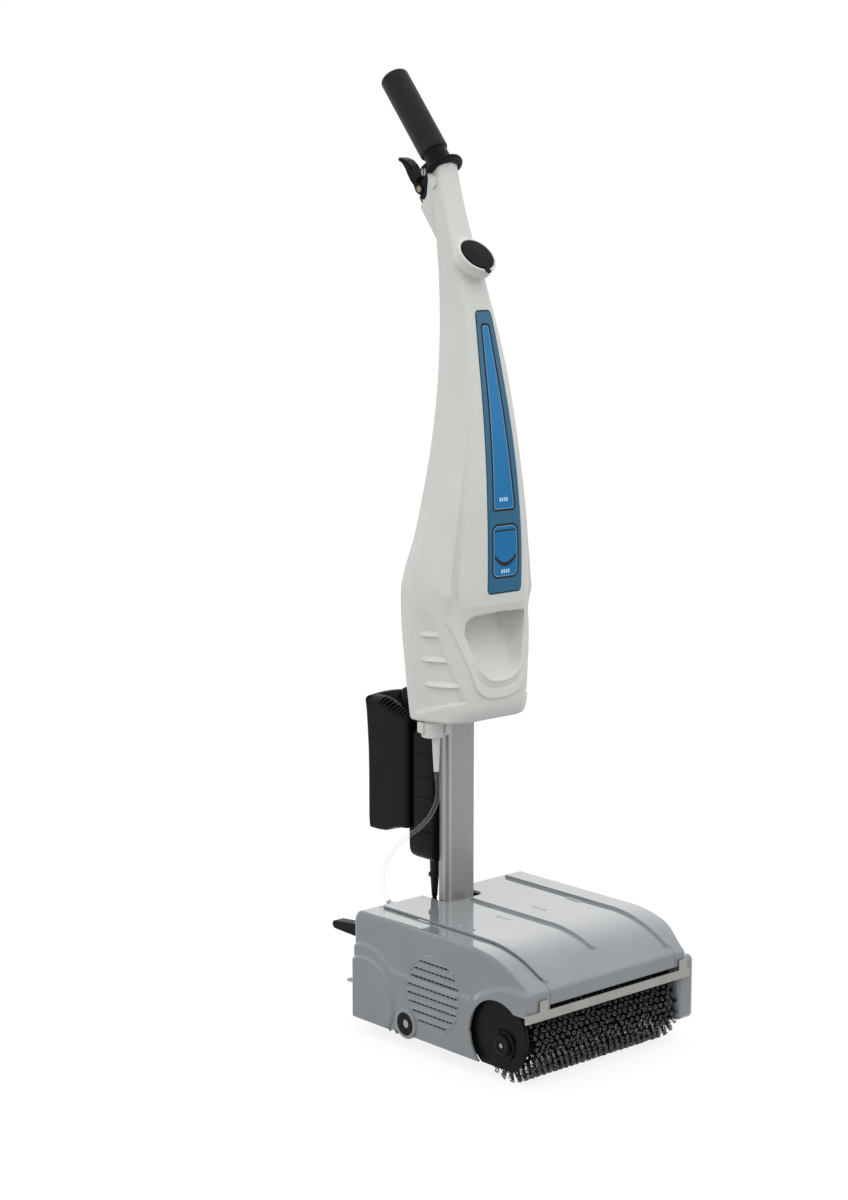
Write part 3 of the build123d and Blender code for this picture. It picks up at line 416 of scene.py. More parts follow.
def tube(centres, radii, sides=16):
    """Points and faces of a round tube along a smooth line of points."""
    centres = np.asarray(centres, float)
    radii = np.broadcast_to(radii, len(centres))
    tangents = np.gradient(centres, axis=0)
    tangents /= np.linalg.norm(tangents, axis=1)[:, None]
    side = np.cross(tangents[0], (0.31, 0.87, 0.38))
    side /= np.linalg.norm(side)
    angles = np.arange(sides) * 2 * pi / sides
    sections = []
    for centre, tangent, radius in zip(centres, tangents, radii):
        side = side - tangent * (side @ tangent)
        side /= np.linalg.norm(side)
        across = np.cross(tangent, side)
        sections.append(centre + radius * (np.outer(np.cos(angles), side) + np.outer(np.sin(angles), across)))
    return loft(sections)


def join(*shapes):
    """Several points-and-faces shapes as one."""
    points = []
    faces = []
    start = 0
    for shape_points, shape_faces in shapes:
        points.append(np.asarray(shape_points, float))
        faces += [[index + start for index in face] for face in shape_faces]
        start += len(shape_points)
    return np.concatenate(points), faces


# Finishes
def tint(red, green, blue):
    """A colour from its screen values, 0 to 255."""
    linear = []
    for value in (red, green, blue):
        linear.append(((value / 255 + 0.055) / 1.055) ** 2.4 if value > 10 else value / 3295)
    return (*linear, 1.0)


class Wire:
    """A socket of a finish; arithmetic on wires adds Math nodes."""

    def __init__(self, finish, socket):
        self.finish = finish
        self.socket = socket

    def __add__(self, other):
        return self.finish.maths("ADD", self, other)

    def __sub__(self, other):
        return self.finish.maths("SUBTRACT", self, other)

    def __rsub__(self, other):
        return self.finish.maths("SUBTRACT", other, self)

    def __mul__(self, other):
        return self.finish.maths("MULTIPLY", self, other)

    def __truediv__(self, other):
        return self.finish.maths("DIVIDE", self, other)

    def __abs__(self):
        return self.finish.maths("ABSOLUTE", self, 0.0)

    __radd__ = __add__
    __rmul__ = __mul__


class Nodes:
    """A node tree that is built up from empty."""

    def __init__(self, tree):
        self.tree = tree
        self.tree.nodes.clear()

    def node(self, kind, settings, values, output=0):
        """Adds a node, sets its settings and then its sockets, and gives the wire from one output."""
        made = self.tree.nodes.new(kind)
        for key, value in settings.items():
            setattr(made, key, value)
        for key, value in values.items():
            socket = made.inputs[key] if isinstance(key, int) else self.socket(made, key)
            if isinstance(value, Wire):
                self.tree.links.new(value.socket, socket)
            else:
                socket.default_value = value
        return Wire(self, made.outputs[output]) if made.outputs else None

    def socket(self, made, name):
        """The input of a node that has a name and is in use."""
        return next(socket for socket in made.inputs if socket.name == name and socket.enabled)

    def maths(self, operation, first, second):
        """A Math node."""
        return self.node("ShaderNodeMath", {"operation": operation}, {0: first, 1: second})


class Finish(Nodes):
    """A procedural material."""

    def __init__(self, name):
        self.material = bpy.data.materials.new(name)
        self.material.use_nodes = True
        super().__init__(self.material.node_tree)

    def place(self):
        """Position on the piece at rest, in metres."""
        return self.node("ShaderNodeTexCoord", {}, {}, "Object")

    def axes(self):
        """The three coordinates of the position, in millimetres."""
        made = self.node("ShaderNodeSeparateXYZ", {}, {0: self.place()}).socket.node
        return [Wire(self, socket) * 1000.0 for socket in made.outputs]

    def noise(self, size, detail=3.0, roughness=0.55, stretch=(1.0, 1.0, 1.0)):
        """Noise whose features are about `size` millimetres, from 0 to 1."""
        place = self.node("ShaderNodeVectorMath", {"operation": "MULTIPLY"}, {0: self.place(), 1: stretch})
        values = {"Vector": place, "Scale": 1000.0 / size, "Detail": detail, "Roughness": roughness}
        return self.node("ShaderNodeTexNoise", {}, values)

    def rise(self, value, start, end, low=0.0, high=1.0):
        """A smooth rise of a value between two bounds."""
        values = {"Value": value, "From Min": start, "From Max": end, "To Min": low, "To Max": high}
        return self.node("ShaderNodeMapRange", {"interpolation_type": "SMOOTHSTEP"}, values)

    def blend(self, factor, first, second):
        """A mix of two colours."""
        values = {"Factor": factor, "A": first, "B": second}
        made = self.node("ShaderNodeMix", {"data_type": "RGBA"}, values)
        colours = [socket for socket in made.socket.node.outputs if socket.type == "RGBA"]
        return Wire(self, colours[0])

    def bump(self, height, depth, strength=1.0):
        """A bump whose height of 1 stands for `depth` millimetres."""
        values = {"Height": height, "Distance": depth * millimetre, "Strength": strength}
        return self.node("ShaderNodeBump", {}, values)

    def surface(self, **values):
        """The shader itself; names are its sockets with _ for a space."""
        sockets = {key.replace("_", " "): value for key, value in values.items()}
        self.finish_with(self.node("ShaderNodeBsdfPrincipled", {}, sockets))
        return self.material

    def finish_with(self, shader):
        """Puts a shader on the surface."""
        self.node("ShaderNodeOutputMaterial", {}, {"Surface": shader})


def casing_grey():
    """Glossy moulded grey of the head's shells."""
    finish = Finish("casing_grey_moulded")
    cloud = finish.noise(60.0, detail=2.0)
    peel = finish.noise(7.0, detail=1.0)
    grazing = finish.node("ShaderNodeLayerWeight", {}, {"Blend": 0.5}, "Facing")
    colour = finish.blend(finish.rise(cloud, 0.3, 0.7), tint(127, 131, 133), tint(131, 135, 137))
    return finish.surface(
        Base_Color=colour,
        Roughness=finish.rise(peel, 0.25, 0.8, 0.09, 0.13),
        Normal=finish.bump(peel, 0.003),
        IOR=1.42,
        Coat_Weight=finish.rise(grazing, 0.42, 0.66) * (1.0 - 0.75 * finish.rise(grazing, 0.78, 0.9)),
        Coat_Roughness=0.02,
        Coat_IOR=3.0,
    )


def tank_white():
    """Off-white satin of the moulded tank, with a fine grain."""
    finish = Finish("tank_white_satin")
    cloud = finish.noise(90.0, detail=2.0)
    grain = finish.noise(0.9, detail=2.0)
    colour = finish.blend(finish.rise(cloud, 0.3, 0.7), tint(199, 200, 195), tint(203, 204, 199))
    return finish.surface(
        Base_Color=colour,
        Roughness=finish.rise(grain, 0.3, 0.7, 0.46, 0.56),
        Normal=finish.bump(grain, 0.02),
    )


def plain_plastic(name, low, high, roughness, grain_size, grain_depth, shine):
    """Moulded plastic or rubber with a fine grain and a slight change of shade."""
    finish = Finish(name)
    grain = finish.noise(grain_size, detail=2.0)
    cloud = finish.noise(25.0, detail=3.0)
    return finish.surface(
        Base_Color=finish.blend(finish.rise(cloud, 0.3, 0.7), low, high),
        Roughness=finish.rise(grain, 0.25, 0.75, roughness - 0.05, roughness + 0.06),
        Normal=finish.bump(grain, grain_depth),
        Specular_IOR_Level=shine,
    )


def drawn_metal(name, low, high, roughness, stretch):
    """Metal with fine drawn lines along one axis."""
    finish = Finish(name)
    lines = finish.noise(0.5, detail=3.0, stretch=stretch)
    cloud = finish.noise(40.0, detail=2.0)
    return finish.surface(
        Base_Color=finish.blend(finish.rise(cloud, 0.3, 0.7), low, high),
        Metallic=0.85,
        Roughness=finish.rise(lines, 0.25, 0.75, roughness - 0.05, roughness + 0.07),
        Normal=finish.bump(lines, 0.006),
    )


def column_aluminium():
    """Drawn satin aluminium, with painted reflection lines, pale and dark, along its rounded left front edge.
    """
    finish = Finish("column_aluminium_drawn_painted_reflections")
    x, y, _ = finish.axes()
    lines = finish.noise(0.5, detail=3.0, stretch=(1.0, 1.0, 0.02))
    # Distance round the column's left front edge, where the painted reflection lines lie
    round_edge = x - y
    # Painted highlights: two pale lines along the rounded edge, with a painted dark reflection line between
    # them
    pale = finish.rise(abs(round_edge + 85.0), 2.6, 0.6) + finish.rise(abs(round_edge + 96.5), 2.4, 0.5)
    dark = finish.rise(abs(round_edge + 90.5), 3.0, 0.8)
    colour = finish.blend(pale, tint(148, 148, 148), tint(172, 172, 172))
    return finish.surface(
        Base_Color=finish.blend(dark, colour, tint(128, 128, 128)),
        Metallic=0.85,
        Roughness=finish.rise(lines, 0.25, 0.75, 0.35, 0.46),
        Normal=finish.bump(lines, 0.006),
    )


def clear_hose():
    """Clear soft plastic of the supply hose, denser towards its edges."""
    finish = Finish("clear_hose_soft")
    cloud = finish.noise(6.0, detail=2.0)
    edge = finish.node("ShaderNodeLayerWeight", {}, {"Blend": 0.5}, "Facing")
    return finish.surface(
        Base_Color=tint(186, 189, 190),
        Roughness=finish.rise(cloud, 0.3, 0.7, 0.12, 0.22),
        Alpha=0.06 + 0.34 * (edge * edge),
        IOR=1.4,
    )


def blue_panel():
    """Printed panel: teal border, two bright blue fields with dark and pale outlines."""
    finish = Finish("blue_panel_print")
    x, _, z = finish.axes()
    across = abs(x - panel_x)
    # Half width of the panel at each height, as the mesh has it
    share = finish.maths("MAXIMUM", (z - panel_taper_start) / panel_taper_length, 0.0)
    half = panel_half_width - panel_narrowing * finish.maths("POWER", share, panel_taper_bend)

    def field(low, high, corner, half_width):
        """Distance outside a rounded field, by the half width it has at each height."""
        side = across - (half_width - corner)
        end = abs(z - (low + high) / 2) - ((high - low) / 2 - corner)
        side_out = finish.maths("MAXIMUM", side, 0.0)
        end_out = finish.maths("MAXIMUM", end, 0.0)
        outside = finish.maths("SQRT", side_out * side_out + end_out * end_out, 0.0)
        inside = finish.maths("MINIMUM", finish.maths("MAXIMUM", side, end), 0.0)
        return outside + inside - corner

    def bar(centre_x, centre_z, half_x, half_z):
        """Distance outside an upright bar."""
        side = abs(x - (panel_x + centre_x)) - half_x
        end = abs(z - centre_z) - half_z
        return finish.maths("MAXIMUM", side, end)

    upper = field(638.0, 853.0, 3.6, 16.8 - 0.0525 * (z - 640.0))
    lower = field(558.5, 620.0, 8.0, half - 9.0)
    both = finish.maths("MINIMUM", upper, lower)
    # The border is lighter towards the top
    border = finish.blend(finish.rise(z, 570.0, 840.0), tint(34, 94, 126), tint(58, 104, 132))
    end = finish.maths("MINIMUM", z - panel_bottom, panel_top - z)
    rim = finish.maths("MINIMUM", half - across, end)
    border = finish.blend(finish.rise(rim, 2.1, 1.6), border, tint(8, 22, 32))
    colour = finish.blend(finish.rise(both, 1.5, 1.9), tint(5, 14, 20), border)
    colour = finish.blend(finish.rise(both, -0.7, -1.0), colour, tint(110, 150, 176))
    # The bright fields are lighter towards the top
    bright = finish.blend(finish.rise(z, 580.0, 800.0), tint(4, 104, 158), tint(34, 117, 170))
    colour = finish.blend(finish.rise(both, -1.6, -2.0), colour, bright)
    # Dark trim of the lower field: a line under its top edge and a bowed band across its foot
    bowed = abs(z - 573.5 - 0.034 * (across * across)) - 2.6
    trim = finish.maths("MINIMUM", bar(0.0, 613.5, 40.0, 1.0), bowed)
    trim = finish.maths("MAXIMUM", trim, lower + 2.6)
    colour = finish.blend(finish.rise(trim, 0.3, -0.3), colour, tint(14, 24, 32))
    for low in (565.2, 650.0):
        for index in range(4):
            mark = bar(-5.4 + 3.6 * index, low, 1.1, 2.2)
            colour = finish.blend(finish.rise(mark, 0.2, -0.2), colour, tint(190, 214, 230))
    return finish.surface(
        Base_Color=colour,
        Roughness=finish.rise(finish.noise(3.0), 0.3, 0.7, 0.30, 0.38),
        Normal=finish.bump(finish.noise(0.8), 0.006),
        Specular_IOR_Level=0.25,
    )


def bristle_nylon():
    """Dark crimped nylon, with painted grey highlights on the bristle tips."""
    finish = Finish("bristle_nylon_crimped")
    glint = finish.noise(2.2, detail=3.0)
    _, y, z = finish.axes()

    def from_axis(axis_y):
        """Distance from a brush's axis."""
        return finish.maths("SQRT", (y - axis_y) * (y - axis_y) + (z - axis_z) * (z - axis_z), 0.0)

    nearest = finish.maths("MINIMUM", from_axis(front_axis_y), from_axis(rear_axis_y))
    # Painted highlight: the bristle tips, from 42.5 mm out from the axis, turn grey in noisy specks
    pale = finish.rise(nearest, 42.5, 45.4) * finish.rise(glint, 0.2, 0.8, 0.45, 1.0)
    return finish.surface(
        Base_Color=finish.blend(pale, tint(9, 9, 10), tint(110, 112, 114)),
        Roughness=finish.rise(glint, 0.3, 0.7, 0.30, 0.45),
        Normal=finish.bump(glint, 0.03),
    )


# Shade from and to, roughness, size and depth of the grain, shine
plastics = {
    "black_plastic": ("black_plastic_fine", tint(11, 11, 12), tint(14, 14, 15), 0.36, 0.8, 0.012, 0.1),
    "black_rubber": ("black_rubber_foam", tint(17, 17, 18), tint(22, 22, 23), 0.46, 0.6, 0.012, 0.24),
    "frame_paint": ("frame_paint_dark", tint(38, 40, 42), tint(46, 48, 50), 0.5, 1.4, 0.03, 0.3),
    "brush_plastic": ("brush_plastic_dark", tint(20, 20, 21), tint(27, 27, 28), 0.5, 1.2, 0.03, 0.3),
}
# Shade from and to, roughness, stretch of the drawn or turned lines
round_x_lines = (1.0, 0.2, 0.2)
metals = {
    "bright_steel": ("bright_steel_drawn", tint(150, 148, 144), tint(158, 156, 152), 0.4, (0.02, 1.0, 1.0)),
    "motor_steel": ("motor_steel_turned", tint(120, 122, 124), tint(132, 134, 136), 0.4, (0.05, 1.0, 1.0)),
    "pulley_aluminium": (
        "pulley_aluminium_turned", tint(168, 170, 172), tint(178, 180, 182), 0.34, round_x_lines
    ),
    "bearing_brass": ("bearing_brass_turned", tint(160, 128, 70), tint(176, 142, 82), 0.36, round_x_lines),
}
finishes = {
    "casing_grey": casing_grey(),
    "tank_white": tank_white(),
    "panel_blue": blue_panel(),
    "clear_hose": clear_hose(),
    "column_aluminium": column_aluminium(),
    "bristle_nylon": bristle_nylon(),
}
finishes.update({slot: plain_plastic(*values) for slot, values in plastics.items()})
finishes.update({slot: drawn_metal(*values) for slot, values in metals.items()})


def new_piece(name, shape, slot, body, replaces=(), crease=35.0):
    """A piece in its slot's finish."""
    points, faces = shape
    return piece(name, points, faces, finishes[slot], body, replaces, crease)


def plate(name, outline, x0, x1, slot, body, edge, segments=3, replaces=()):
    """A plate with soft edges: an outline in Y and Z, drawn out along X."""
    item = new_piece(name, prism(outline, x0, x1), slot, body, replaces)
    soften(item, edge, segments)


# Camera
camera_data = bpy.data.cameras.new("camera")
camera_data.lens = camera_lens
camera_data.sensor_width = camera_sensor
camera = bpy.data.objects.new("camera", camera_data)
camera.location = camera_place
camera.rotation_euler = camera_turn
scene.collection.objects.link(camera)
scene.camera = camera


# Cords
def spline_points(name, route):
    """Points along the NURBS spline that has the route as its control points, in millimetres."""
    curve = bpy.data.curves.new(name, "CURVE")
    curve.dimensions = "3D"
    curve.resolution_u = 10
    spline = curve.splines.new("NURBS")
    spline.points.add(len(route) - 1)
    for point, place in zip(spline.points, route):
        point.co = (*(value * millimetre for value in place), 1.0)
    spline.order_u = 3
    spline.use_endpoint_u = True
    holder = bpy.data.objects.new(name, curve)
    line = bpy.data.meshes.new_from_object(holder)
    points = np.array([vertex.co for vertex in line.vertices]) / millimetre
    bpy.data.objects.remove(holder)
    bpy.data.meshes.remove(line)
    bpy.data.curves.remove(curve)
    return points


def cord(name, route, radius, node, slot):
    """A cord along its route, from the handle down to the head."""
    line = spline_points(name + "_line", route)
    item = new_piece(name, tube(line, radius, sides=20), slot, None, crease=60.0)
    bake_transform(item)
    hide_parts(node)
    return item


cord("water_hose", hose_route, hose_radius, "supply_hose", "clear_hose")
cord("power_cable", cable_route, cable_radius, "battery_cable", "black_rubber")


# Tank
def tank_at(height):
    """A smooth row of the tank's table at any height."""
    heights = tank_rows[:, 0]
    slopes = np.gradient(tank_rows[:, 1:], heights, axis=0)
    index = int(np.clip(np.searchsorted(heights, height) - 1, 0, len(heights) - 2))
    gap = heights[index + 1] - heights[index]
    t = (height - heights[index]) / gap
    low, high = tank_rows[index, 1:], tank_rows[index + 1, 1:]
    start, end = slopes[index] * gap, slopes[index + 1] * gap
    return (
        low * (2 * t**3 - 3 * t**2 + 1)
        + start * (t**3 - 2 * t**2 + t)
        + high * (3 * t**2 - 2 * t**3)
        + end * (t**3 - t**2)
    )


def tank_half_outline(height):
    """Half of a level section, from the middle of the nose round to the middle of the rear."""
    half, nose, flat, drop, rear, corner = tank_at(height)
    chamfer = hypot(half - flat, drop)
    turn = atan2(drop, half - flat)
    front_round = 0.45 * chamfer / tan(turn / 2)
    side_round = 0.30 * chamfer / tan((pi / 2 - turn) / 2)
    corners = [(0.0, nose), (flat, nose), (half, nose + drop), (half, rear - 1.6 * corner)]
    corners += [(half - 0.45 * corner, rear), (0.0, rear)]
    return evenly(rounded(corners, [front_round, side_round, 4.0, 0.42 * corner], steps=14), 400)


def front_y(across, height):
    """Y of the tank's front at a distance from its middle."""
    outline = tank_half_outline(height)
    front = outline[: int(np.argmax(outline[:, 0] > 0.999 * outline[:, 0].max()))]
    return np.interp(np.abs(across), front[:, 0], front[:, 1])


def bowl(across, z, foot, foot_half, lean, most, bend):
    """Distance outside a bowl in the front view, with leaning sides, a flat foot and round corners."""
    power = 2.4
    least = 1e-6
    half = np.minimum(foot_half + lean * np.maximum(z - foot, 0.0), most)
    side = across / half
    down = np.maximum(foot + bend - z, 0.0) / bend
    size = np.maximum((side**power + down**power) ** (1 / power), least)
    slope_x = (side / size) ** (power - 1) / half
    slope_z = (down / size) ** (power - 1) / bend
    return (size - 1.0) / np.maximum(np.hypot(slope_x, slope_z), least)


def mouth_top(across):
    """Height of the upper edge of the pocket's mouth, which bows and rounds off at its ends."""
    past = np.clip((across - mouth_end) / mouth_end_round, 0.0, 1.0)
    bow = mouth_bow * (across / 40.0) ** 2
    return mouth_crown - bow - mouth_end_round * (1.0 - np.sqrt(1.0 - past**2))


def ledge_relief(across, y, z):
    """Height of the ledge round under the pocket, which rises to a crisp outer edge."""
    inner = bowl(across, z, *ledge_inner_bowl)
    outer = bowl(across, z, *ledge_outer_bowl)
    share = np.clip(inner / np.maximum(inner - outer, 1e-6), 0.0, 1.0)
    ledge = (ledge_height + ledge_foot_extra * soft(440.0, 420.0, z)) * share * soft(1.0, 0.82, share)
    return soft(562.0, 530.0, z) * soft(50.0, 30.0, y) * np.where((inner > 0) & (outer < 0), ledge, 0.0)


def recess_relief(across, y, z):
    """Depth of the recess behind the ledge, with its wedge of wall and the ribs that stand in it."""
    start = np.interp(z, *recess_start)
    end = np.interp(z, *recess_end)
    foot = 407.0 - (y - 4.0) * 0.265
    recess = recess_depth * np.clip((y - start) / (end - start), 0.0, 1.0)
    recess *= np.clip((522.0 - z) / 34.0, 0.0, 1.0)
    recess *= soft(80.0, 52.0, y) * soft(foot - 1.2, foot + 1.2, z) * soft(30.0, 46.0, across)
    ribs = np.zeros_like(z)
    for rear_y, rear_z, end_y, end_z in recess_ribs:
        above = z - rear_z - (rear_y - y) * (end_z - rear_z) / (rear_y - end_y)
        rib = np.clip((3.6 - above) / 4.6, 0.0, 1.0) * soft(-3.4, -2.3, above)
        rib = rib * soft(end_y - 1.2, end_y + 1.0, y)
        ribs = np.maximum(ribs, rib * np.clip((rear_y - y) / 18.0, 0.0, 1.0))
    return recess * (1.0 - ribs)


def step_relief(across, y, z):
    """Height of the step between the sides and the front, with a hollow along its foot."""
    out = (across - np.interp(z, step_levels, step_x)) * 0.69 + (y - np.interp(z, step_levels, step_y)) * 0.72
    rise = np.interp(z, *step_rise) * soft(50.0, 30.0, y)
    return rise * (soft(-2.2, 1.2, out) * soft(24.0, 6.0, out) - 0.6 * np.exp(-((out + 4.0) ** 2) / 10.0))


def tank_relief(x, y, z):
    """Height of everything moulded on the plain tank."""
    across = np.abs(x)
    return ledge_relief(across, y, z) - recess_relief(across, y, z) + step_relief(across, y, z)


def pocket_depth(x, y, z):
    """How far the funnel round the hand pocket and the pocket itself go in behind the tank's front."""
    across = np.abs(x)
    inner = bowl(across, z, *ledge_inner_bowl)
    sides = bowl(across, z, *mouth_bowl)
    top = mouth_top(across)
    share = np.clip(inner / np.minimum(inner - np.maximum(sides, 0.0), -1e-6), 0.0, 1.0)
    edge = 1.6 * soft(545.0, 515.0, z)
    fall = (np.interp(z, *pocket_lip) - edge) * share
    funnel = np.where(inner < 0, edge * soft(0.0, 0.2, share) + fall, 0.0)
    rolled = -0.7 * np.exp(-((sides - 1.0) ** 2) / 1.2) * soft(top + 2.0, top - 2.0, z)
    inside = np.clip(-sides / 12.0, 0.0, 1.0)
    pocket = np.interp(z, *pocket_floor) * (1.0 - (1.0 - inside) ** 2) * soft(top + 0.9, top - 0.7, z)
    return (funnel + rolled + pocket) * soft(40.0, 25.0, y)


def filler_reach(angle, height, middle, plain):
    """Distance from the tank's middle line to its skin where the filler boss grows smoothly out of it."""
    ray = np.stack([np.sin(angle), -np.cos(angle), np.zeros_like(angle)], -1)
    out = np.linspace(-1.0, 46.0, 189)[None, :]
    reach = plain[:, None] + out
    place = ray[:, None, :] * reach[..., None] + np.array([0.0, middle - filler_y, height - filler_height])
    along = place @ np.array(filler_axis)
    from_axis = np.sqrt(np.maximum((place**2).sum(-1) - along**2, 0.0))
    round_gap = from_axis - filler_radius - boss_taper * np.minimum(along + 4.0, 0.0)
    boss = np.maximum(round_gap, along + 3.0)
    overlap = np.maximum(boss_blend - np.abs(out - boss), 0.0) / boss_blend
    field = np.minimum(out, boss) - overlap**2 * boss_blend / 4
    # The outermost place along each ray that is still inside
    inside = (field < 0) & (np.cos(angle) > 0.0)[:, None]
    last = np.where(inside.any(1), inside.shape[1] - 1 - np.argmax(inside[:, ::-1], axis=1), -1)
    index = np.clip(last, 0, out.shape[1] - 2)
    rows = np.arange(len(angle))
    here, after = field[rows, index], field[rows, index + 1]
    share = np.clip(here / np.minimum(here - after, -1e-9), 0.0, 1.0)
    found = out[0][index] + share * (out[0][1] - out[0][0])
    return plain + np.where(last >= 0, np.maximum(found, 0.0), 0.0)


def tank_shell():
    """Moulded tank and neck as one skin round its middle line."""
    columns = 512
    top_rows = 16
    angles = np.linspace(-pi, pi, columns, endpoint=False)
    heights = np.concatenate([
        [378.0, 378.1, 378.4, 379.0, 379.9, 381.0, 382.0, 384.5, 388.0, 391.0, 394.0, 396.5],
        np.arange(399.0, 540.0, 1.0),
        np.arange(540.0, boss_low, 2.5),
        np.arange(boss_low, boss_high, 1.0),
        np.arange(boss_high, 1000.0, 2.5),
    ])
    rows = []
    for index in range(len(heights) + top_rows):
        base = heights[min(index, len(heights) - 1)]
        share = max(index - len(heights) + 1, 0) / top_rows
        level = np.full(columns, base)
        # The last rows lean into the slanted cut under the grip, which takes a few rounds to settle
        for _ in range(3 if share else 1):
            middle_level = float(level.mean())
            outline = tank_half_outline(middle_level)
            nose, drop, rear = tank_at(middle_level)[[1, 3, 4]]
            middle = (nose + drop + rear) / 2
            turn = np.arctan2(outline[:, 0], -(outline[:, 1] - middle))
            reach = np.interp(np.abs(angles), turn, np.hypot(outline[:, 0], outline[:, 1] - middle))
            y = middle - reach * np.cos(angles)
            if share:
                cut = grip_base_z - (neck_top + grip_axis[1] * (y - grip_base_y)) / grip_axis[2]
                level = heights[-1] + share * (cut - heights[-1])
        foot = tank_foot_round - min(base - heights[0], tank_foot_round)
        reach = reach - (tank_foot_round - sqrt(tank_foot_round**2 - foot**2))
        if boss_low < base < boss_high and not share:
            reach = filler_reach(angles, base, middle, reach)
        x = reach * np.sin(angles)
        y = middle - reach * np.cos(angles)
        if base < boss_low:
            grow = tank_relief(x, y, level)
            x = x + grow * np.sin(angles)
            y = y - grow * np.cos(angles)
            if 415.0 < base < 550.0:
                y = y + pocket_depth(x, y, level)
        level = level + tank_foot_lift * np.clip((85.0 - y) / 95.0, 0.0, 1.0) * soft(430.0, 380.0, level)
        rows.append(np.stack([x + handle_x, y, level], -1))
    # Floor of the tank, drawn in from its lowest row
    middle = np.array([handle_x, rows[0][:, 1].mean()])
    for share in (0.96, 0.5):
        inner_row = rows[0].copy()
        inner_row[:, :2] = middle + (inner_row[:, :2] - middle) * share
        inner_row[:, 2] -= 0.6
        rows.insert(0, inner_row)
    return loft(rows)


def panel_half(height):
    """Half width of the blue panel at a height."""
    share = np.clip((height - panel_taper_start) / panel_taper_length, 0.0, 1.0)
    return panel_half_width - panel_narrowing * share**panel_taper_bend


def tank_panel():
    """Blue panel laid on the tank's front, a little proud, with rounded corners and its edges tucked in."""
    corner = 6.0
    tuck = 1.5
    ends = corner * (1 - np.cos(np.linspace(0, pi / 2, 8)))
    between = np.arange(panel_bottom + 10, panel_top - 8, 4.0)
    heights = np.concatenate([panel_bottom + ends, between, panel_top - ends[::-1]])
    shares = np.linspace(-1.0, 1.0, 33)
    rows = []
    for height in heights:
        gap = min(height - panel_bottom, panel_top - height, corner)
        half = panel_half(height) - (corner - sqrt(max(corner**2 - (corner - gap) ** 2, 0.0)))
        across = shares * half
        y = front_y(across + panel_x - handle_x, height) - panel_proud
        row = np.stack([across + panel_x, y, np.full_like(across, height)], -1)
        row[[0, -1], 1] += tuck
        rows.append(row)
    for row in (rows[0], rows[-1]):
        row[:, 1] += tuck
    return np.concatenate(rows), grid_faces(len(rows), len(shares)).tolist()


new_piece("moulded_tank", tank_shell(), "tank_white", "handle", ["tank_shell"], crease=0)
new_piece("printed_panel", tank_panel(), "panel_blue", "handle", ["tank_panel"], crease=50)

rim_line = rounded(
    [(filler_radius, -14.0), (filler_radius, 0.0), (22.6, 0.0), (22.6, -3.2), (17.0, -3.2), (17.0, -14.0)],
    [1.6, 0.8, 0.6, 1.0],
    steps=5,
)
filler_rim = lathe(rim_line, filler_place, filler_axis, sides=96, closed=True)
new_piece("filler_rim", filler_rim, "tank_white", "handle")


def filler_cap():
    """Round cap with a soft edge and a finger tab on its front."""
    disc = rounded(
        [(0.0, -12.0), (16.6, -12.0), (16.6, -2.9), (cap_radius, -2.9), (cap_radius, 0.9), (0.0, 1.3)],
        [1.0, 0.4, 0.8, 1.2],
    )
    tab = ring([(-3.0, -19.0), (-3.0, -29.5), (3.0, -29.5), (3.0, -19.0)], [0.5, 2.4, 2.4, 0.5])
    tab_shape = slab(tab, -0.2, 2.0, filler_place, filler_axis)
    return join(lathe(disc, filler_place, filler_axis, sides=96), tab_shape)


new_piece("tabbed_cap", filler_cap(), "black_plastic", "cap", ["filler_cap"])
shroud_line = ring(
    [(92.0, 1030.0), (109.0, 1030.0), (112.5, 1002.0), (124.5, 989.0), (94.0, 950.0), (80.0, 950.0)],
    [4.0, 4.0, 9.0, 5.0, 6.0, 6.0],
)
plate("cable_shroud", shroud_line, handle_x - 9.5, handle_x + 9.5, "tank_white", "handle", 3.0, 4)

# Grip, bracket and lever
grip_line = rounded(
    [(12.0, -4.5), (grip_radius, -4.5), (grip_radius, grip_length), (0.0, grip_length + 0.8)],
    [3.4, 5.0],
    steps=8,
)
new_piece("foam_grip", lathe(grip_line, grip_place, grip_axis, sides=72), "black_rubber", "handle", ["grip"])
collar_line = rounded(
    [(12.0, 1.6), (14.6, 1.6), (15.0, -24.0), (18.8, -25.4), (18.8, -31.0), (12.0, -31.0)],
    [0.9, 2.2, 1.2, 0.8],
    steps=6,
)
new_piece("grip_collar", lathe(collar_line, grip_place, grip_axis, sides=72), "black_plastic", "handle")


def on_grip(along, below):
    """Y and Z of a place by its distance along the grip and below its middle line."""
    up_y, up_z = grip_axis[1], grip_axis[2]
    return grip_base_y + along * up_y + below * up_z, grip_base_z + along * up_z - below * up_y


def guard_hook():
    """Finger guard that runs round the front of the collar and ends rounded on the right."""
    reach, below_grip = 21.6, 28.2
    profile = ring([(-3.1, -2.7), (3.1, -2.7), (3.1, 2.7), (-3.1, 2.7)], [2.0] * 4, steps=4)
    angles = np.linspace(radians(205), radians(-12), 60)
    sections = []
    for index, angle in enumerate(angles):
        ending = min(index, len(angles) - 1 - index) / 5
        size = sqrt(1.0 - (1.0 - min(ending, 1.0)) ** 2) * 0.94 + 0.06
        row = []
        for out, up in profile:
            side = (reach + out * size) * cos(angle)
            front = (reach + out * size) * sin(angle)
            row.append((handle_x + side, *on_grip(up * size - below_grip, -front)))
        sections.append(np.array(row))
    return loft(sections)


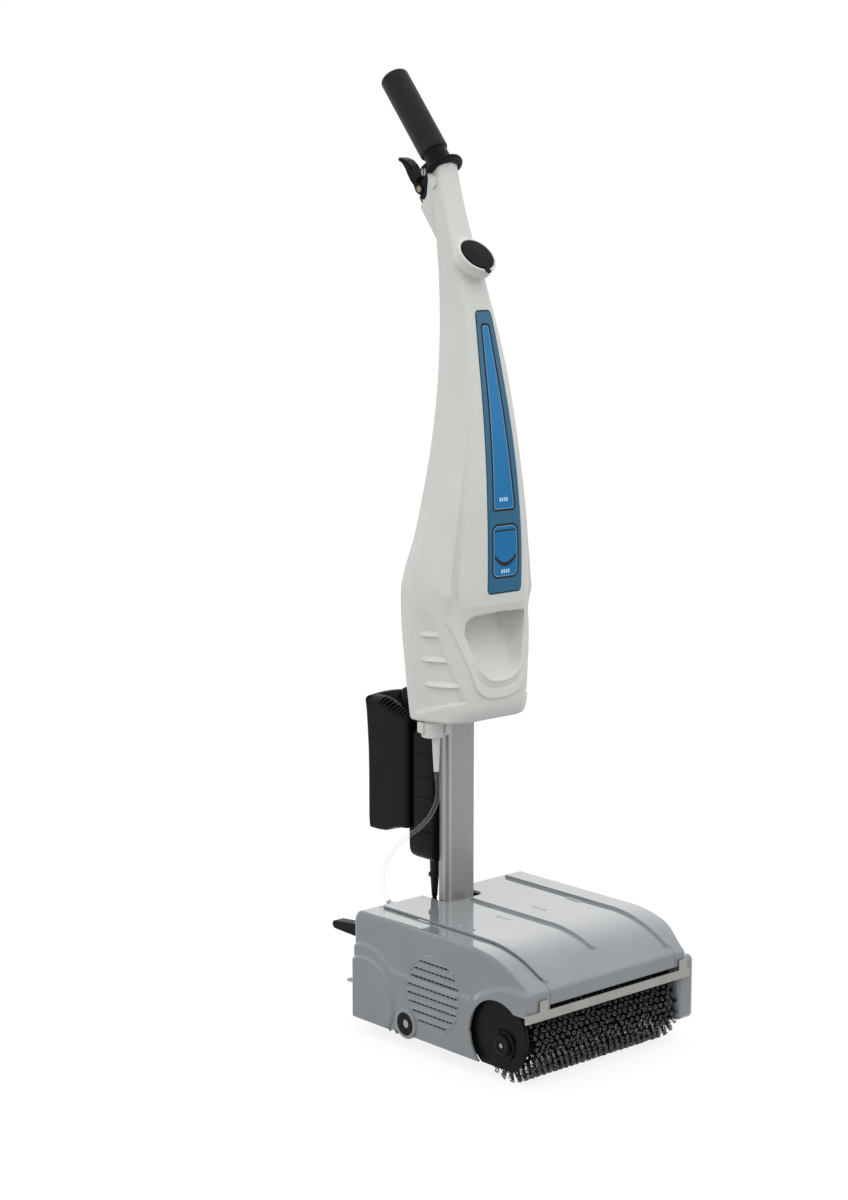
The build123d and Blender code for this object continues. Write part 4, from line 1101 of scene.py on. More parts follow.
new_piece("guard_hook", guard_hook(), "black_plastic", "handle", ["lever_bracket"], crease=50)
fork_line = ring(
    [
        (102.0, 1047.0), (115.8, 1040.0), (122.6, 1036.2), (125.0, 1031.2),
        (122.4, 1025.4), (112.2, 1020.6), (99.0, 1021.0),
    ],
    [3.0, 6.0, 4.5, 4.5, 4.5, 5.0, 3.0],
)
for name, start_x in (("left_fork", -17.4), ("right_fork", 1.0)):
    plate(name, fork_line, start_x, start_x + 2.4, "black_plastic", "handle", 0.8)
web_line = ring(
    [
        (110.0, 1024.0), (114.6, 1020.0), (117.0, 1003.0), (123.6, 995.4),
        (129.4, 1001.4), (127.0, 1019.0), (121.0, 1024.0),
    ],
    [2.0, 4.0, 5.0, 4.0, 4.0, 3.0, 2.0],
)
plate("cable_web", web_line, -13.2, -1.8, "black_plastic", "handle", 1.2)
lever_line = ring(
    [
        (168.3, 1044.2), (166.0, 1047.8), (155.0, 1044.6), (146.0, 1037.9), (140.4, 1029.4),
        (133.4, 1031.0), (118.0, 1034.5), (116.0, 1026.0), (133.2, 1022.4), (134.6, 1018.0),
        (128.0, 1016.6), (122.0, 1011.5), (123.6, 1005.2), (130.0, 1002.6), (136.0, 1006.4),
        (139.5, 1013.8), (146.2, 1020.2), (150.7, 1026.8), (155.2, 1034.2), (161.0, 1040.6),
    ],
    [
        1.4, 1.6, 14.0, 14.0, 3.0,
        3.0, 4.0, 3.6, 2.0, 2.0,
        5.0, 5.0, 5.0, 5.0, 5.0,
        6.0, 16.0, 16.0, 14.0, 6.0,
    ],
)
plate("curved_lever", lever_line, -14.7, 0.7, "black_plastic", "trigger", 1.9, 4, ["trigger_lever"])
to_left = (-1, 0, 0)
barrel_place = (-15.0, 129.1, 1009.8)
barrel_line = rounded([(2.3, -0.6), (2.3, 0.7), (3.7, 0.7), (3.9, -0.6)], [0.3, 0.4], steps=3)
barrel = lathe(barrel_line[::-1], barrel_place, to_left, sides=40, closed=True)
new_piece("barrel_end", barrel, "bright_steel", "trigger", ["cable_barrel"])
screw_line = rounded([(2.4, -0.4), (2.4, 0.35), (0.0, 0.35)], [0.3], steps=3)
new_piece("barrel_screw", lathe(screw_line, barrel_place, to_left, sides=32), "bearing_brass", "trigger")


def screw_head(place, axis, radius, height):
    """Round screw head cut by one slot."""
    slot_half = 0.45
    angles = np.linspace(0.15, pi - 0.15, 14)
    halves = []
    for sign in (1.0, -1.0):
        arc = [(sign * (slot_half + (radius - slot_half) * sin(a)), radius * cos(a) * sign) for a in angles]
        halves.append(slab(arc, 0.0, height, place, axis))
    base = lathe([(radius - 0.3, -0.5), (radius - 0.3, 0.25), (0.0, 0.25)], place, axis, sides=28)
    return join(base, *halves)


pivot_screw = screw_head((-17.3, 117.0, 1029.6), to_left, 4.4, 1.2)
new_piece("pivot_screw", pivot_screw, "bright_steel", "handle", ["lever_pin"])
lug_line = ring(
    [(85.4, 1014.2), (85.6, 1022.8), (96.2, 1029.2), (100.0, 1026.6), (96.0, 1013.6), (91.0, 1009.6)],
    [2.5, 2.0, 2.0, 1.5, 3.0, 3.0],
)
plate("neck_lug_left", lug_line, handle_x - 18.6, handle_x - 10.0, "tank_white", "handle", 0.9)
plate("neck_lug_right", lug_line, handle_x + 10.0, handle_x + 18.6, "tank_white", "handle", 0.9)

# Battery, dock and what hangs below the tank
battery_left, battery_right = -44.5, 25.5
battery_face = 118.2
battery_corner = 4.0
shoulder_width = 14.0
shoulder_drop = 12.0
rear_round = 5.0
# Heights or places in y, with a value at each: rear of the case, its upper edge and its lower edge
rear_line = (
    [220.0, 290.0, 320.0, 347.0, 370.0, 384.0, 395.0],
    [192.6, 192.6, 193.2, 195.0, 196.9, 199.4, 200.0],
)
upper_line = (
    [118.0, 126.0, 135.0, 142.0, 148.0, 154.0, 160.0, 168.0, 182.0],
    [377.0, 378.6, 380.9, 382.4, 384.4, 386.4, 388.6, 390.2, 391.0],
)
lower_line = (
    [114.0, 131.4, 146.5, 154.0, 161.0, 175.0, 200.0],
    [232.6, 231.2, 228.2, 224.6, 222.0, 220.8, 220.8],
)
dock_left, dock_right, dock_front = -39.5, 20.5, 76.9
dock_corner = 2.4
# Levels of the dock: inset of its sides, rear y, height
dock_levels = (
    (9.0, 108.0, 196.8), (5.0, 113.0, 197.6), (2.0, 117.4, 200.2), (0.6, 119.6, 204.0),
    (0.0, 120.6, 209.0), (0.0, 120.9, 231.4), (0.3, 120.6, 232.0), (1.6, 113.6, 232.6),
    (1.6, 113.0, 234.2), (0.3, 113.4, 235.4), (0.0, 113.6, 237.0), (0.0, 113.6, 300.0),
    (0.0, 113.6, 350.0), (1.2, 112.6, 356.0), (3.5, 110.6, 360.5), (7.0, 107.6, 362.0),
)
# Ribs on the dock's sides: y and z of the rear end, z of the front end
dock_ribs = ((110.0, 328.4, 330.0), (110.0, 300.6, 301.6), (110.0, 274.1, 275.9), (103.6, 250.8, 258.4))
dock_rib_front = 83.4
column_box = (-32.5, 13.5, 55.9, 77.1)
column_corner = 6.7
upright = (0, 0, 1)


def battery_rear(height):
    """Rear Y of the battery case, which flares towards its top."""
    return np.interp(height, *rear_line)


def battery_rim(x, y):
    """Height of the case's upper edge: arched along the rear, falling towards the dock along the sides."""
    arch = 388.3 - 2.0 * ((x - handle_x) / 28.5) ** 2
    return np.interp(y, *upper_line) + (np.minimum(arch, 394.0) - 389.0) * soft(160.0, 192.0, y)


def battery():
    """Battery case: flared at the back, scalloped below, with rolled shoulders round a hand hollow."""
    wide, deep = battery_right - battery_left, 75.0
    outline = ring([(0.0, 0.0), (0.0, deep), (wide, deep), (wide, 0.0)], [battery_corner] * 4, steps=7)
    outline = evenly(np.concatenate([outline, outline[:1]]), 161)[:-1]
    ahead = np.roll(outline, -1, axis=0) - np.roll(outline, 1, axis=0)
    ahead /= np.linalg.norm(ahead, axis=1)[:, None]
    normal = np.stack([-ahead[:, 1], ahead[:, 0]], -1)
    x0, depth = outline[:, 0] + battery_left, outline[:, 1] / deep
    # How much each place of the outline belongs to the rear, to a side and to the face on the dock
    rear = soft(0.1, 0.6, normal[:, 1])
    side = normal[:, 0] ** 2 * (1.0 - rear)
    front = np.maximum(-normal[:, 1], 0.0) ** 2
    rest_y = battery_face + depth * (battery_rear(300.0) - battery_face)
    top_drop = side * shoulder_drop + rear * rear_round + front * 3.0
    top_in = rear * rear_round + front * 3.0 + side * 3.0
    foot_lift = side * 3.5 + rear * 17.0 + front * 2.0
    foot_in = rear * 9.5 + front * 2.0 + side * 2.0
    sections = []

    def level(height, in_x, in_y):
        """Adds the outline at its heights, drawn in by two distances."""
        y = battery_face + depth * (battery_rear(height) - battery_face)
        sections.append(np.stack([x0 - normal[:, 0] * in_x, y - normal[:, 1] * in_y, height], -1))

    low = np.interp(rest_y, *lower_line)
    for angle in np.linspace(0.0, pi / 2, 7):
        inward = 1.0 - sin(angle)
        level(low + foot_lift * (1.0 - cos(angle)), 3.5 * inward, foot_in * inward)
    start_z = low + foot_lift
    end_z = battery_rim(x0, rest_y) - top_drop
    for share in np.linspace(0.0, 1.0, 26)[1:-1]:
        level(start_z + share * (end_z - start_z), 0.0, 0.0)
    for angle in np.linspace(0.0, pi / 2, 9):
        inward = 1.0 - cos(angle)
        in_x = shoulder_width * inward
        rim = battery_rim(x0 - normal[:, 0] * in_x, rest_y)
        level(rim - top_drop * (1.0 - sin(angle)), in_x, top_in * inward)
    # The hand hollow goes further in and down from the rolled shoulders
    top = battery_rim(x0 - normal[:, 0] * shoulder_width, rest_y)
    for further, sink in ((2.2, 0.7), (3.4, 3.0), (4.4, 9.0), (6.5, 13.5), (10.0, 15.5)):
        level(top - sink, shoulder_width + further, rear_round + further * 1.6)
    return loft(sections)


def battery_teeth():
    """Row of slanted finger ribs over the falling edge of the left shoulder, and its twin on the right."""
    bends = np.radians([20.0, 38.0, 56.0, 72.0])
    sunk, raised = -0.8, 1.5
    shapes = []
    for foot_y in np.linspace(171.5, 122.8, 9):
        sections = []
        for share, bend in zip(np.linspace(0.0, 1.0, 4), bends):
            x = battery_left + shoulder_width * (1.0 - cos(bend))
            y = foot_y - 4.0 * share * soft(118.0, 150.0, foot_y)
            z = battery_rim(x, y) - shoulder_drop * (1.0 - sin(bend))
            half = 0.9 + 0.4 * share
            corners = ((sunk, -half), (sunk, half), (raised, half), (raised, -half))
            section = [(x - out * cos(bend), y + across, z + out * sin(bend)) for out, across in corners]
            sections.append(np.array(section))
        mirrored = [section * (-1, 1, 1) + (battery_left + battery_right, 0, 0) for section in sections]
        shapes += [loft(sections), loft([section[::-1] for section in mirrored])]
    return join(*shapes)


def latch_tower():
    """Block in the front of the hand hollow that carries the latch."""
    left, right, front, rear, corner = -28.0, 9.0, 119.0, 150.0, 5.0
    sections = []
    for inset, height in ((0.0, 362.0), (0.0, 398.0), (0.4, 400.6), (1.4, 402.6), (3.2, 403.6)):
        box = (left + inset, right - inset, front + inset, rear - inset)
        sections.append(rounded_box_ring(*box, corner, height))
    return loft(sections)


new_piece("battery_case", battery(), "black_plastic", "battery", ["battery_pack"])
teeth = new_piece("battery_teeth", battery_teeth(), "black_plastic", "battery")
soften(teeth, 0.4, 2)
new_piece("latch_tower", latch_tower(), "black_plastic", "battery")


def dock():
    """Battery dock: slim upper part with ribs on its side, a seam, and a fuller chin below."""
    box_faces = [[0, 1, 3, 2], [4, 6, 7, 5], [0, 4, 5, 1], [2, 3, 7, 6], [0, 2, 6, 4], [1, 5, 7, 3]]
    sections = []
    for inset, rear, height in dock_levels:
        box = (dock_left + inset, dock_right - inset, dock_front, rear)
        sections.append(rounded_box_ring(*box, dock_corner, height))
    ribs = []
    for rear_y, rear_z, front_z in dock_ribs:
        for face, outward in ((dock_left, -1.0), (dock_right, 1.0)):
            points = []
            for out, half in ((-0.6, 1.3), (0.9, 0.6)):
                x = face + outward * out
                for y, z in ((rear_y, rear_z), (dock_rib_front, front_z)):
                    points += [(x, y, z - half), (x, y, z + half)]
            ribs.append((np.array(points), box_faces))
    return join(loft(sections), *ribs)


new_piece("ribbed_dock", dock(), "black_plastic", "handle", ["battery_dock"])
column_levels = np.linspace(124.0, 421.0, 12)
column_rings = [rounded_box_ring(*column_box, column_corner, height) for height in column_levels]
new_piece("drawn_column", loft(column_rings), "column_aluminium", "handle", ["column"])
sleeve_line = rounded(
    [
        (0.0, 146.6), (3.6, 146.6), (5.2, 171.0), (7.6, 172.2),
        (7.6, 176.5), (5.6, 177.5), (6.4, 204.0), (0.0, 204.0),
    ],
    [0.8, 1.0, 1.2, 1.2, 1.0, 0.6],
    steps=4,
)
sleeve = lathe(sleeve_line, (-17.0, 98.0, 0.0), upright, sides=40)
new_piece("cable_sleeve", sleeve, "black_rubber", "handle", ["strain_relief"])
cup_line = rounded(
    [(0.0, 386.0), (12.6, 386.0), (12.6, 378.6), (14.2, 378.0), (13.8, 359.0), (0.0, 359.0)],
    [0.5, 0.4, 0.8, 1.8],
    steps=5,
)
cup_shapes = [lathe(cup_line, (-52.5, 62.0, 0.0), upright, sides=56)]
for tab_x, tab_y, tab_low in ((-66.6, 66.0, 365.0), (-40.0, 52.6, 361.5)):
    tab_rings = []
    for inset, height in ((1.2, tab_low), (0.3, tab_low + 0.5), (0.0, tab_low + 1.6), (0.0, 378.4)):
        tab_box = (tab_x - 3.4 + inset, tab_x + 4.6 - inset, tab_y - 5.4 + inset, tab_y + 5.4 - inset)
        tab_rings.append(rounded_box_ring(*tab_box, 1.6, height))
    cup_shapes.append(loft(tab_rings))
new_piece("valve_cup", join(*cup_shapes), "tank_white", "handle", ["valve_body"])
nozzle_top = np.array((-51.0, 57.9, 361.0))
nozzle_way = np.array(hose_route[0]) - nozzle_top
nozzle_end = float(np.linalg.norm(nozzle_way)) + 1.0
nozzle_line = rounded(
    [(0.0, 0.0), (5.3, 0.0), (5.0, 5.0), (3.3, nozzle_end), (2.3, nozzle_end), (2.3, nozzle_end - 7.0)],
    [0.6, 2.0, 0.5, 0.3],
    steps=4,
)
nozzle = lathe(nozzle_line, nozzle_top, nozzle_way, sides=40)
new_piece("hose_nozzle", nozzle, "tank_white", "handle", ["valve_nozzle"])


# Head shells
def head_path(rear_rows, front_rows):
    """Side outline of the head from its rear foot over the top to its front lip, with outward normals."""
    lines = [(head_rear, z, 1.0, 0.0) for z in rear_rows[:-1]]

    def arc(centre, radius, start, end):
        """Adds an arc without its last point."""
        count = max(int(abs(end - start) * radius / path_spacing), 6)
        for angle in np.linspace(start, end, count, endpoint=False):
            out_y, out_z = cos(angle), sin(angle)
            lines.append((centre[0] + radius * out_y, centre[1] + radius * out_z, out_y, out_z))

    corner = (head_rear - rear_edge_radius, head_top - rear_edge_radius)
    arc(corner, rear_edge_radius, 0.0, pi / 2)
    lines += [(y, head_top, 0.0, 1.0) for y in np.arange(corner[0], hood_fall_start, -path_spacing)]
    fall = (hood_fall_start, head_top - hood_fall_radius)
    nose = (head_front + lip_round, lip_start)
    meet = atan2(nose[1] - fall[1], nose[0] - fall[0])
    arc(fall, hood_fall_radius, pi / 2, meet)
    arc(nose, lip_round, meet, pi)
    lines += [(head_front, z, -1.0, 0.0) for z in front_rows]
    return np.array(lines)


def bead(distance):
    """Height of a raised ridge, by the distance inside its outline."""
    return ridge_height * soft(-0.25, 0.75, distance)


def seam_at(y):
    """Half width of the hood, which narrows a little towards its front lip."""
    return seam_edge - (seam_edge - seam_front_edge) * soft(-174.0, -191.0, y)


def hood_columns():
    """Places across the hood, close together at the ridges' edges and in the notch's corners."""
    ridge_edge = np.concatenate([np.arange(3.4, 4.8, 0.2), [0.0, 1.2, 2.4]])
    seam = np.concatenate([np.arange(96.6, 98.6, 0.2), [100.0, 101.6, 103.0, 104.4, 105.4, 106.1, seam_edge]])
    places = [
        -seam, seam, -ridge_edge, ridge_edge,
        np.linspace(-96.0, notch_left, 62),
        np.linspace(notch_left, notch_left + notch_corner, 9),
        np.arange(notch_left + notch_corner, -5.0, 1.2),
        np.arange(5.4, notch_right - notch_corner, 1.2),
        np.linspace(notch_right - notch_corner, notch_right, 9),
        np.linspace(notch_right, 96.0, 66),
    ]
    return np.unique(np.round(np.concatenate(places), 2))


def hood_relief(x, y, z, up):
    """Height of the ridges, less the depth of the pressed slots."""
    across = np.abs(x)
    # The middle ridge ends in round noses, the side ones run along the seams
    past_end = np.maximum(np.maximum(y - middle_ridge_rear, middle_ridge_front - y) + ridge_half_width, 0.0)
    grow = bead(ridge_half_width - np.hypot(across, past_end))
    side_middle = ridge_inner + ridge_half_width
    past_end = np.maximum(np.maximum(y - ridge_rear, ridge_front - y) + ridge_half_width, 0.0)
    round_end = ridge_half_width - np.hypot(np.maximum(across, side_middle) - side_middle, past_end)
    outward = np.where(past_end > 0, round_end, 2.0)
    inward = ridge_half_width - np.hypot(np.maximum(side_middle - across, 0.0), past_end)
    grow = np.maximum(grow, bead(np.where(across > side_middle, outward, inward)))
    grow = grow * (up > 0.2)
    for slot_x in slot_places:
        past_end = np.maximum(np.abs(y - slot_y) - slot_half_length + slot_half_width, 0.0)
        gap = np.hypot(x - slot_x, past_end)
        pressed = soft(slot_half_width + 0.4, slot_half_width - 0.8, gap)
        grow = grow - slot_depth * pressed * (z > head_top - 20)
    return grow


def hood():
    """Centre shell with three ridges and pressed slots, notched round the column."""
    rear_rows = np.linspace(lip_bottom, head_top - rear_edge_radius, 24)
    path = head_path(rear_rows, np.linspace(lip_start, lip_bottom, 12))
    x = hood_columns()
    y, z, ny, nz = (path[:, i][:, None] for i in range(4))
    across = np.abs(x)[None, :]
    grow = hood_relief(x[None, :], y, z, nz)
    # Rows in front of the notch are drawn on to its rounded edge
    side_gap = np.minimum(np.clip(x - notch_left, 0, notch_corner), np.clip(notch_right - x, 0, notch_corner))
    steady = notch_front - 4.0
    last = notch_front + notch_corner
    edge = last - np.sqrt(np.maximum(notch_corner**2 - (notch_corner - side_gap) ** 2, 0.0))
    y_all = np.broadcast_to(y, (len(path), len(x))).copy()
    squeeze = (y_all > steady) & (y_all < last + 2.5) & (z > head_top - 1)
    share = np.clip((y_all - steady) / (last - steady), 0.0, 1.0)
    in_notch = ((x > notch_left) & (x < notch_right))[None, :]
    y_all = np.where(squeeze & (share < 1.0) & in_notch, steady + share * (edge[None, :] - steady), y_all)
    narrow = (seam_at(y) - ridge_inner) / (seam_edge - ridge_inner)
    drawn_in = np.where(across > ridge_inner, ridge_inner + (across - ridge_inner) * narrow, across)
    x_all = np.sign(x)[None, :] * drawn_in
    points = np.stack([x_all, y_all + ny * grow, np.broadcast_to(z, y_all.shape) + nz * grow], -1)
    faces = grid_faces(len(path), len(x))
    column = faces[:, 0] % len(x)
    row = faces[:, 0] // len(x)
    cut = (x[column] >= notch_left - 0.01) & (x[np.minimum(column + 1, len(x) - 1)] <= notch_right + 0.01)
    cut &= path[np.minimum(row + 1, len(path) - 1), 0] > last - 0.5
    return points.reshape(-1, 3), faces[~cut][:, ::-1].tolist()


def turned_round(y, turned):
    """The same place on the right cover, which is the left one turned half round."""
    return 2 * head_middle - y if turned else y


def within(y, z, circle):
    """Distance inside a circle given as its middle and radius."""
    return circle[2] - np.hypot(y - circle[0], z - circle[1])


def cover_relief(y, z):
    """How far the skirt, fender and arches of a side cover stand out; places are as on the left cover."""
    skirt = soft_max([skirt_top - z, within(y, z, closed_arch_outer)], 3.0)
    ahead = np.maximum(y - fender_front[0], 0.0)
    nose = fender_front[2] - np.hypot(ahead, z - fender_front[1])
    fender = soft_max([within(y, z, fender_rear), nose], 2.5)
    lower = 1.0 - (1.0 - soft(-0.5, 4.2, skirt)) * (1.0 - soft(0.0, 9.0, fender))
    return skirt_step * lower + (bulge_step - skirt_step) * soft(-0.5, 3.4, within(y, z, closed_arch))


def cover_column(place, turned):
    """Heights between which the cover's side runs at a place, and the top of its foot if it has one."""
    split = open_arch[1]
    past = turned_round(place, turned) - open_arch[0]
    arch = sqrt(max(open_arch[2] ** 2 - past**2, 0.0))
    if turned and place < head_front + 50.0:
        return lip_bottom, None
    if past <= 0:
        return max(open_side_top, split + arch), None
    if past < open_arch[2]:
        return split + arch, split - arch
    return split, split


def tuck_front(points):
    """Draws the front end of the right cover in, so that it is rounded in plan."""
    inner = seam_edge + seam_gap
    x = points[:, 0]
    tuck = 14.0 * soft(-146.0, -194.0, points[:, 1])
    points[:, 0] = np.where(x > inner, inner + (x - inner) * (1.0 - tuck / (head_half_width - inner)), x)


def round_foot(points):
    """Rounds the lower rear corner."""
    corner_y, corner_z = head_rear - foot_corner, casing_bottom + foot_corner
    out_y = np.maximum(points[:, 1] - corner_y, 0.0)
    out_z = np.maximum(corner_z - points[:, 2], 0.0)
    pull = foot_corner / np.maximum(np.hypot(out_y, out_z), foot_corner)
    pull = np.where((out_y > 0) & (out_z > 0), pull, 1.0)
    points[:, 1] = np.where(pull < 1, corner_y + out_y * pull, points[:, 1])
    points[:, 2] = np.where(pull < 1, corner_z - out_z * pull, points[:, 2])


def side_cover(side, turned):
    """A side shell: top strip, rounded shoulder, and the moulded side with its arches."""
    upper_rows, lower_rows = 76, 30
    rear_top = head_top - rear_edge_radius
    split = open_arch[1]
    low = np.linspace(casing_bottom, split, lower_rows + 1)
    high = np.linspace(split, rear_top, upper_rows + 1)
    open_rear = np.linspace(open_side_top, rear_top, upper_rows + 1)
    rear_rows = open_rear if turned else np.concatenate([low[:-1], high])
    front_rows = np.linspace(lip_start, lip_bottom if turned else open_side_top, upper_rows + 1)
    path = head_path(rear_rows, front_rows)
    y, z, ny, nz = (path[:, i][:, None] for i in range(4))
    # Top strip and shoulder, across from the seam
    inset = (side_edge_radius - rear_side_radius) * soft(0.2, 0.9, nz) * soft(-182.0, -135.0, y)
    inset = rear_side_radius + inset
    strip_start = seam_at(y) + seam_gap
    strip_end = head_half_width - side_edge_width
    strip = np.concatenate([[0.0, 0.02, 0.06], np.linspace(0.15, 1.0, 9)])
    turn = np.linspace(0.0, pi / 2, 11)[1:]
    flat_x = strip_start + (strip_end - strip_start) * strip[None, :]
    flat_y, flat_z = np.broadcast_to(y, flat_x.shape), np.broadcast_to(z, flat_x.shape)
    in_y, in_z = y - inset * ny, z - inset * nz
    round_y, round_z = in_y + inset * ny * np.cos(turn), in_z + inset * nz * np.cos(turn)
    stand = cover_relief(turned_round(round_y, turned), round_z)
    round_x = strip_end + (side_edge_width + stand) * np.sin(turn)[None, :]
    pairs = ((flat_x, round_x), (flat_y, round_y), (flat_z, round_z))
    rim_points = np.stack([np.concatenate(pair, 1) for pair in pairs], -1)
    rim_faces = grid_faces(len(path), rim_points.shape[1]).tolist()
    # The side itself, column by column under the shoulder, and its feet
    crown = slice(len(rear_rows) - 1, len(path) - upper_rows)
    places = in_y[crown, 0]
    upper_shares = np.linspace(0.0, 1.0, upper_rows + 1)
    lower_shares = np.linspace(0.0, 1.0, lower_rows + 1)
    points = []
    hems = []
    for place, top in zip(places, in_z[crown, 0]):
        start, hem = cover_column(place, turned)
        points += [(place, start + share * (top - start)) for share in upper_shares]
        if hem is not None and hem > casing_bottom:
            hems.append((place, hem))
    faces = grid_faces(len(places), upper_rows + 1).tolist()
    faces += grid_faces(len(hems), lower_rows + 1, start=len(points)).tolist()
    for place, hem in hems:
        points += [(place, casing_bottom + share * (hem - casing_bottom)) for share in lower_shares]
    flat = np.array(points)
    left_y = turned_round(flat[:, 0], turned)
    side_points = np.stack([head_half_width + cover_relief(left_y, flat[:, 1]), flat[:, 0], flat[:, 1]], -1)
    from_vent = np.hypot(left_y - louvre_y, flat[:, 1] - louvre_height)
    side_faces = [face for face in faces if max(from_vent[index] for index in face) > louvre_radius - 0.6]
    whole, whole_faces = join((rim_points.reshape(-1, 3), rim_faces), (side_points, side_faces))
    if turned:
        tuck_front(whole)
    whole[:, 0] *= side
    round_foot(whole)
    return whole, whole_faces


def shell(name, shape, body, node, outward):
    """A thin casing shell; its faces are turned to look along `outward` before it gets its wall."""
    item = new_piece(name, shape, "casing_grey", body, [node], crease=0)
    mesh = bmesh.new()
    mesh.from_mesh(item.data)
    bmesh.ops.remove_doubles(mesh, verts=mesh.verts, dist=0.00003)
    bmesh.ops.recalc_face_normals(mesh, faces=mesh.faces)
    total = sum((face.normal * face.calc_area() for face in mesh.faces), Vector())
    if total.dot(Vector(outward)) < 0:
        bmesh.ops.reverse_faces(mesh, faces=mesh.faces)
    mesh.to_mesh(item.data)
    mesh.free()
    item.data.shade_smooth()
    thicken(item, casing_wall, 0.7)


shell("moulded_hood", hood(), "head", "hood", (0, -0.3, 1))
shell("moulded_left_cover", side_cover(-1.0, False), "head", "left_side_cover", (-1, 0, 0.3))
shell("moulded_right_cover", side_cover(1.0, True), "head", "right_side_cover", (1, 0, 0.3))
drive_line = ring([(-190.0, 27.0), (-190.0, 106.0), (-115.0, 106.0), (-115.0, 27.0)], [7.0] * 4)
plate("drive_box", drive_line, 115.0, 143.4, "casing_grey", "head", 9.0, 8)
slot_middles = louvre_height + (np.arange(louvre_slots) - (louvre_slots - 1) / 2) * louvre_pitch


def grille_blades(side, turned):
    """Round air grille of sloping blades with slots between them."""
    half_slot = louvre_opening / 2
    steps = np.array([
        -louvre_pitch / 2, -half_slot - 2.0, -half_slot - 0.7, -half_slot,
        half_slot, half_slot + 0.7, half_slot + 2.0,
    ])
    heights = (slot_middles[:, None] + steps[None, :]).ravel()
    ends = louvre_radius * np.cos(np.linspace(0.0, 0.6, 7))
    heights = np.concatenate([heights, louvre_height + ends, louvre_height - ends])
    heights = np.unique(np.round(heights[np.abs(heights - louvre_height) <= louvre_radius], 3))
    half = np.sqrt(np.maximum(louvre_radius**2 - (heights - louvre_height) ** 2, 0.0))
    shares = np.sin(np.linspace(-pi / 2, pi / 2, 41))
    y = louvre_y + half[:, None] * shares[None, :]
    z = np.broadcast_to(heights[:, None], y.shape)
    phase = ((z - louvre_height) / louvre_pitch + louvre_slots / 2) % 1.0
    near_slot = np.abs(z - louvre_height) < louvre_slots * louvre_pitch / 2
    inside = soft(louvre_radius, louvre_radius - 4.0, np.hypot(y - louvre_y, z - louvre_height))
    slope = np.interp(phase, [0.0, 0.39, 0.61, 1.0], [0.2, -1.7, 1.1, 0.2])
    stand = cover_relief(y, z) + 0.2 + inside * slope * near_slot
    points = np.stack([side * (head_half_width + stand), turned_round(y, turned), z], -1)
    faces = grid_faces(len(heights), len(shares))
    middle_y = y.ravel()[faces].mean(axis=1)
    middle_z = z.ravel()[faces].mean(axis=1)
    off = np.abs(middle_z[:, None] - slot_middles[None, :]).min(axis=1)
    from_middle = np.hypot(middle_y - louvre_y, middle_z - louvre_height)
    faces = faces[~((off < half_slot) & (from_middle < louvre_radius - 2.0))]
    if (side < 0) != turned:
        faces = faces[:, ::-1]
    return points.reshape(-1, 3), faces.tolist()


def grille_webs(side, turned):
    """Small upright webs across the slots of an air grille."""
    webs = []
    for middle in slot_middles:
        reach = sqrt(louvre_radius**2 - (middle - louvre_height) ** 2) - 3.0
        low, high = middle - web_half_height, middle + web_half_height
        for web_y in np.arange(-6, 7) * web_pitch:
            if abs(web_y) < reach:
                place = turned_round(louvre_y + web_y, turned)
                rear, front = place - web_half_width, place + web_half_width
                out = head_half_width + float(cover_relief(louvre_y + web_y, middle))
                outline = [(rear, low), (front, low), (front, high), (rear, high)]
                webs.append(prism(outline, *sorted((side * (out - 3.0), side * (out - 0.7)))))
    return join(*webs)


def grille_rim(side, turned):
    """Thin raised edge round an air grille, lying on the moulded side."""
    angles = np.arange(120) * 2 * pi / 120
    profile = ((44.9, -1.2), (45.2, 0.3), (45.7, 0.7), (46.2, 0.3), (46.5, -1.2), (44.9, -1.2))
    sections = []
    for radius, height in profile:
        y = louvre_y + radius * np.cos(angles)
        z = louvre_height + radius * np.sin(angles)
        out = side * (head_half_width + cover_relief(y, z) + height)
        sections.append(np.stack([out, turned_round(y, turned), z], -1))
    return np.concatenate(sections), grid_faces(len(profile), len(angles), wrap=True).tolist()


# Black backing disc behind each grille's slots: a dark sheet that stands in for the shade inside the cover
shade_backing_line = rounded([(0.0, 0.0), (louvre_radius - 1.0, 0.0), (louvre_radius - 1.0, 4.0)], [1.0])
for name, side, node, turned in (
    ("left_grille", -1.0, "left_louvre", False),
    ("right_grille", 1.0, "right_louvre", True),
):
    grille = new_piece(name, grille_blades(side, turned), "casing_grey", "head", [node], crease=30)
    modify(grille, "SOLIDIFY", thickness=1.6 * millimetre, offset=-1.0)
    new_piece(name + "_webs", grille_webs(side, turned), "casing_grey", "head")
    new_piece(name + "_rim", grille_rim(side, turned), "casing_grey", "head", crease=60)
    shade_backing_place = (side * (head_half_width - 6.5), turned_round(louvre_y, turned), louvre_height)
    new_piece(name + "_shade_backing", lathe(shade_backing_line, shade_backing_place, (side, 0, 0), sides=48), "black_plastic", "head")


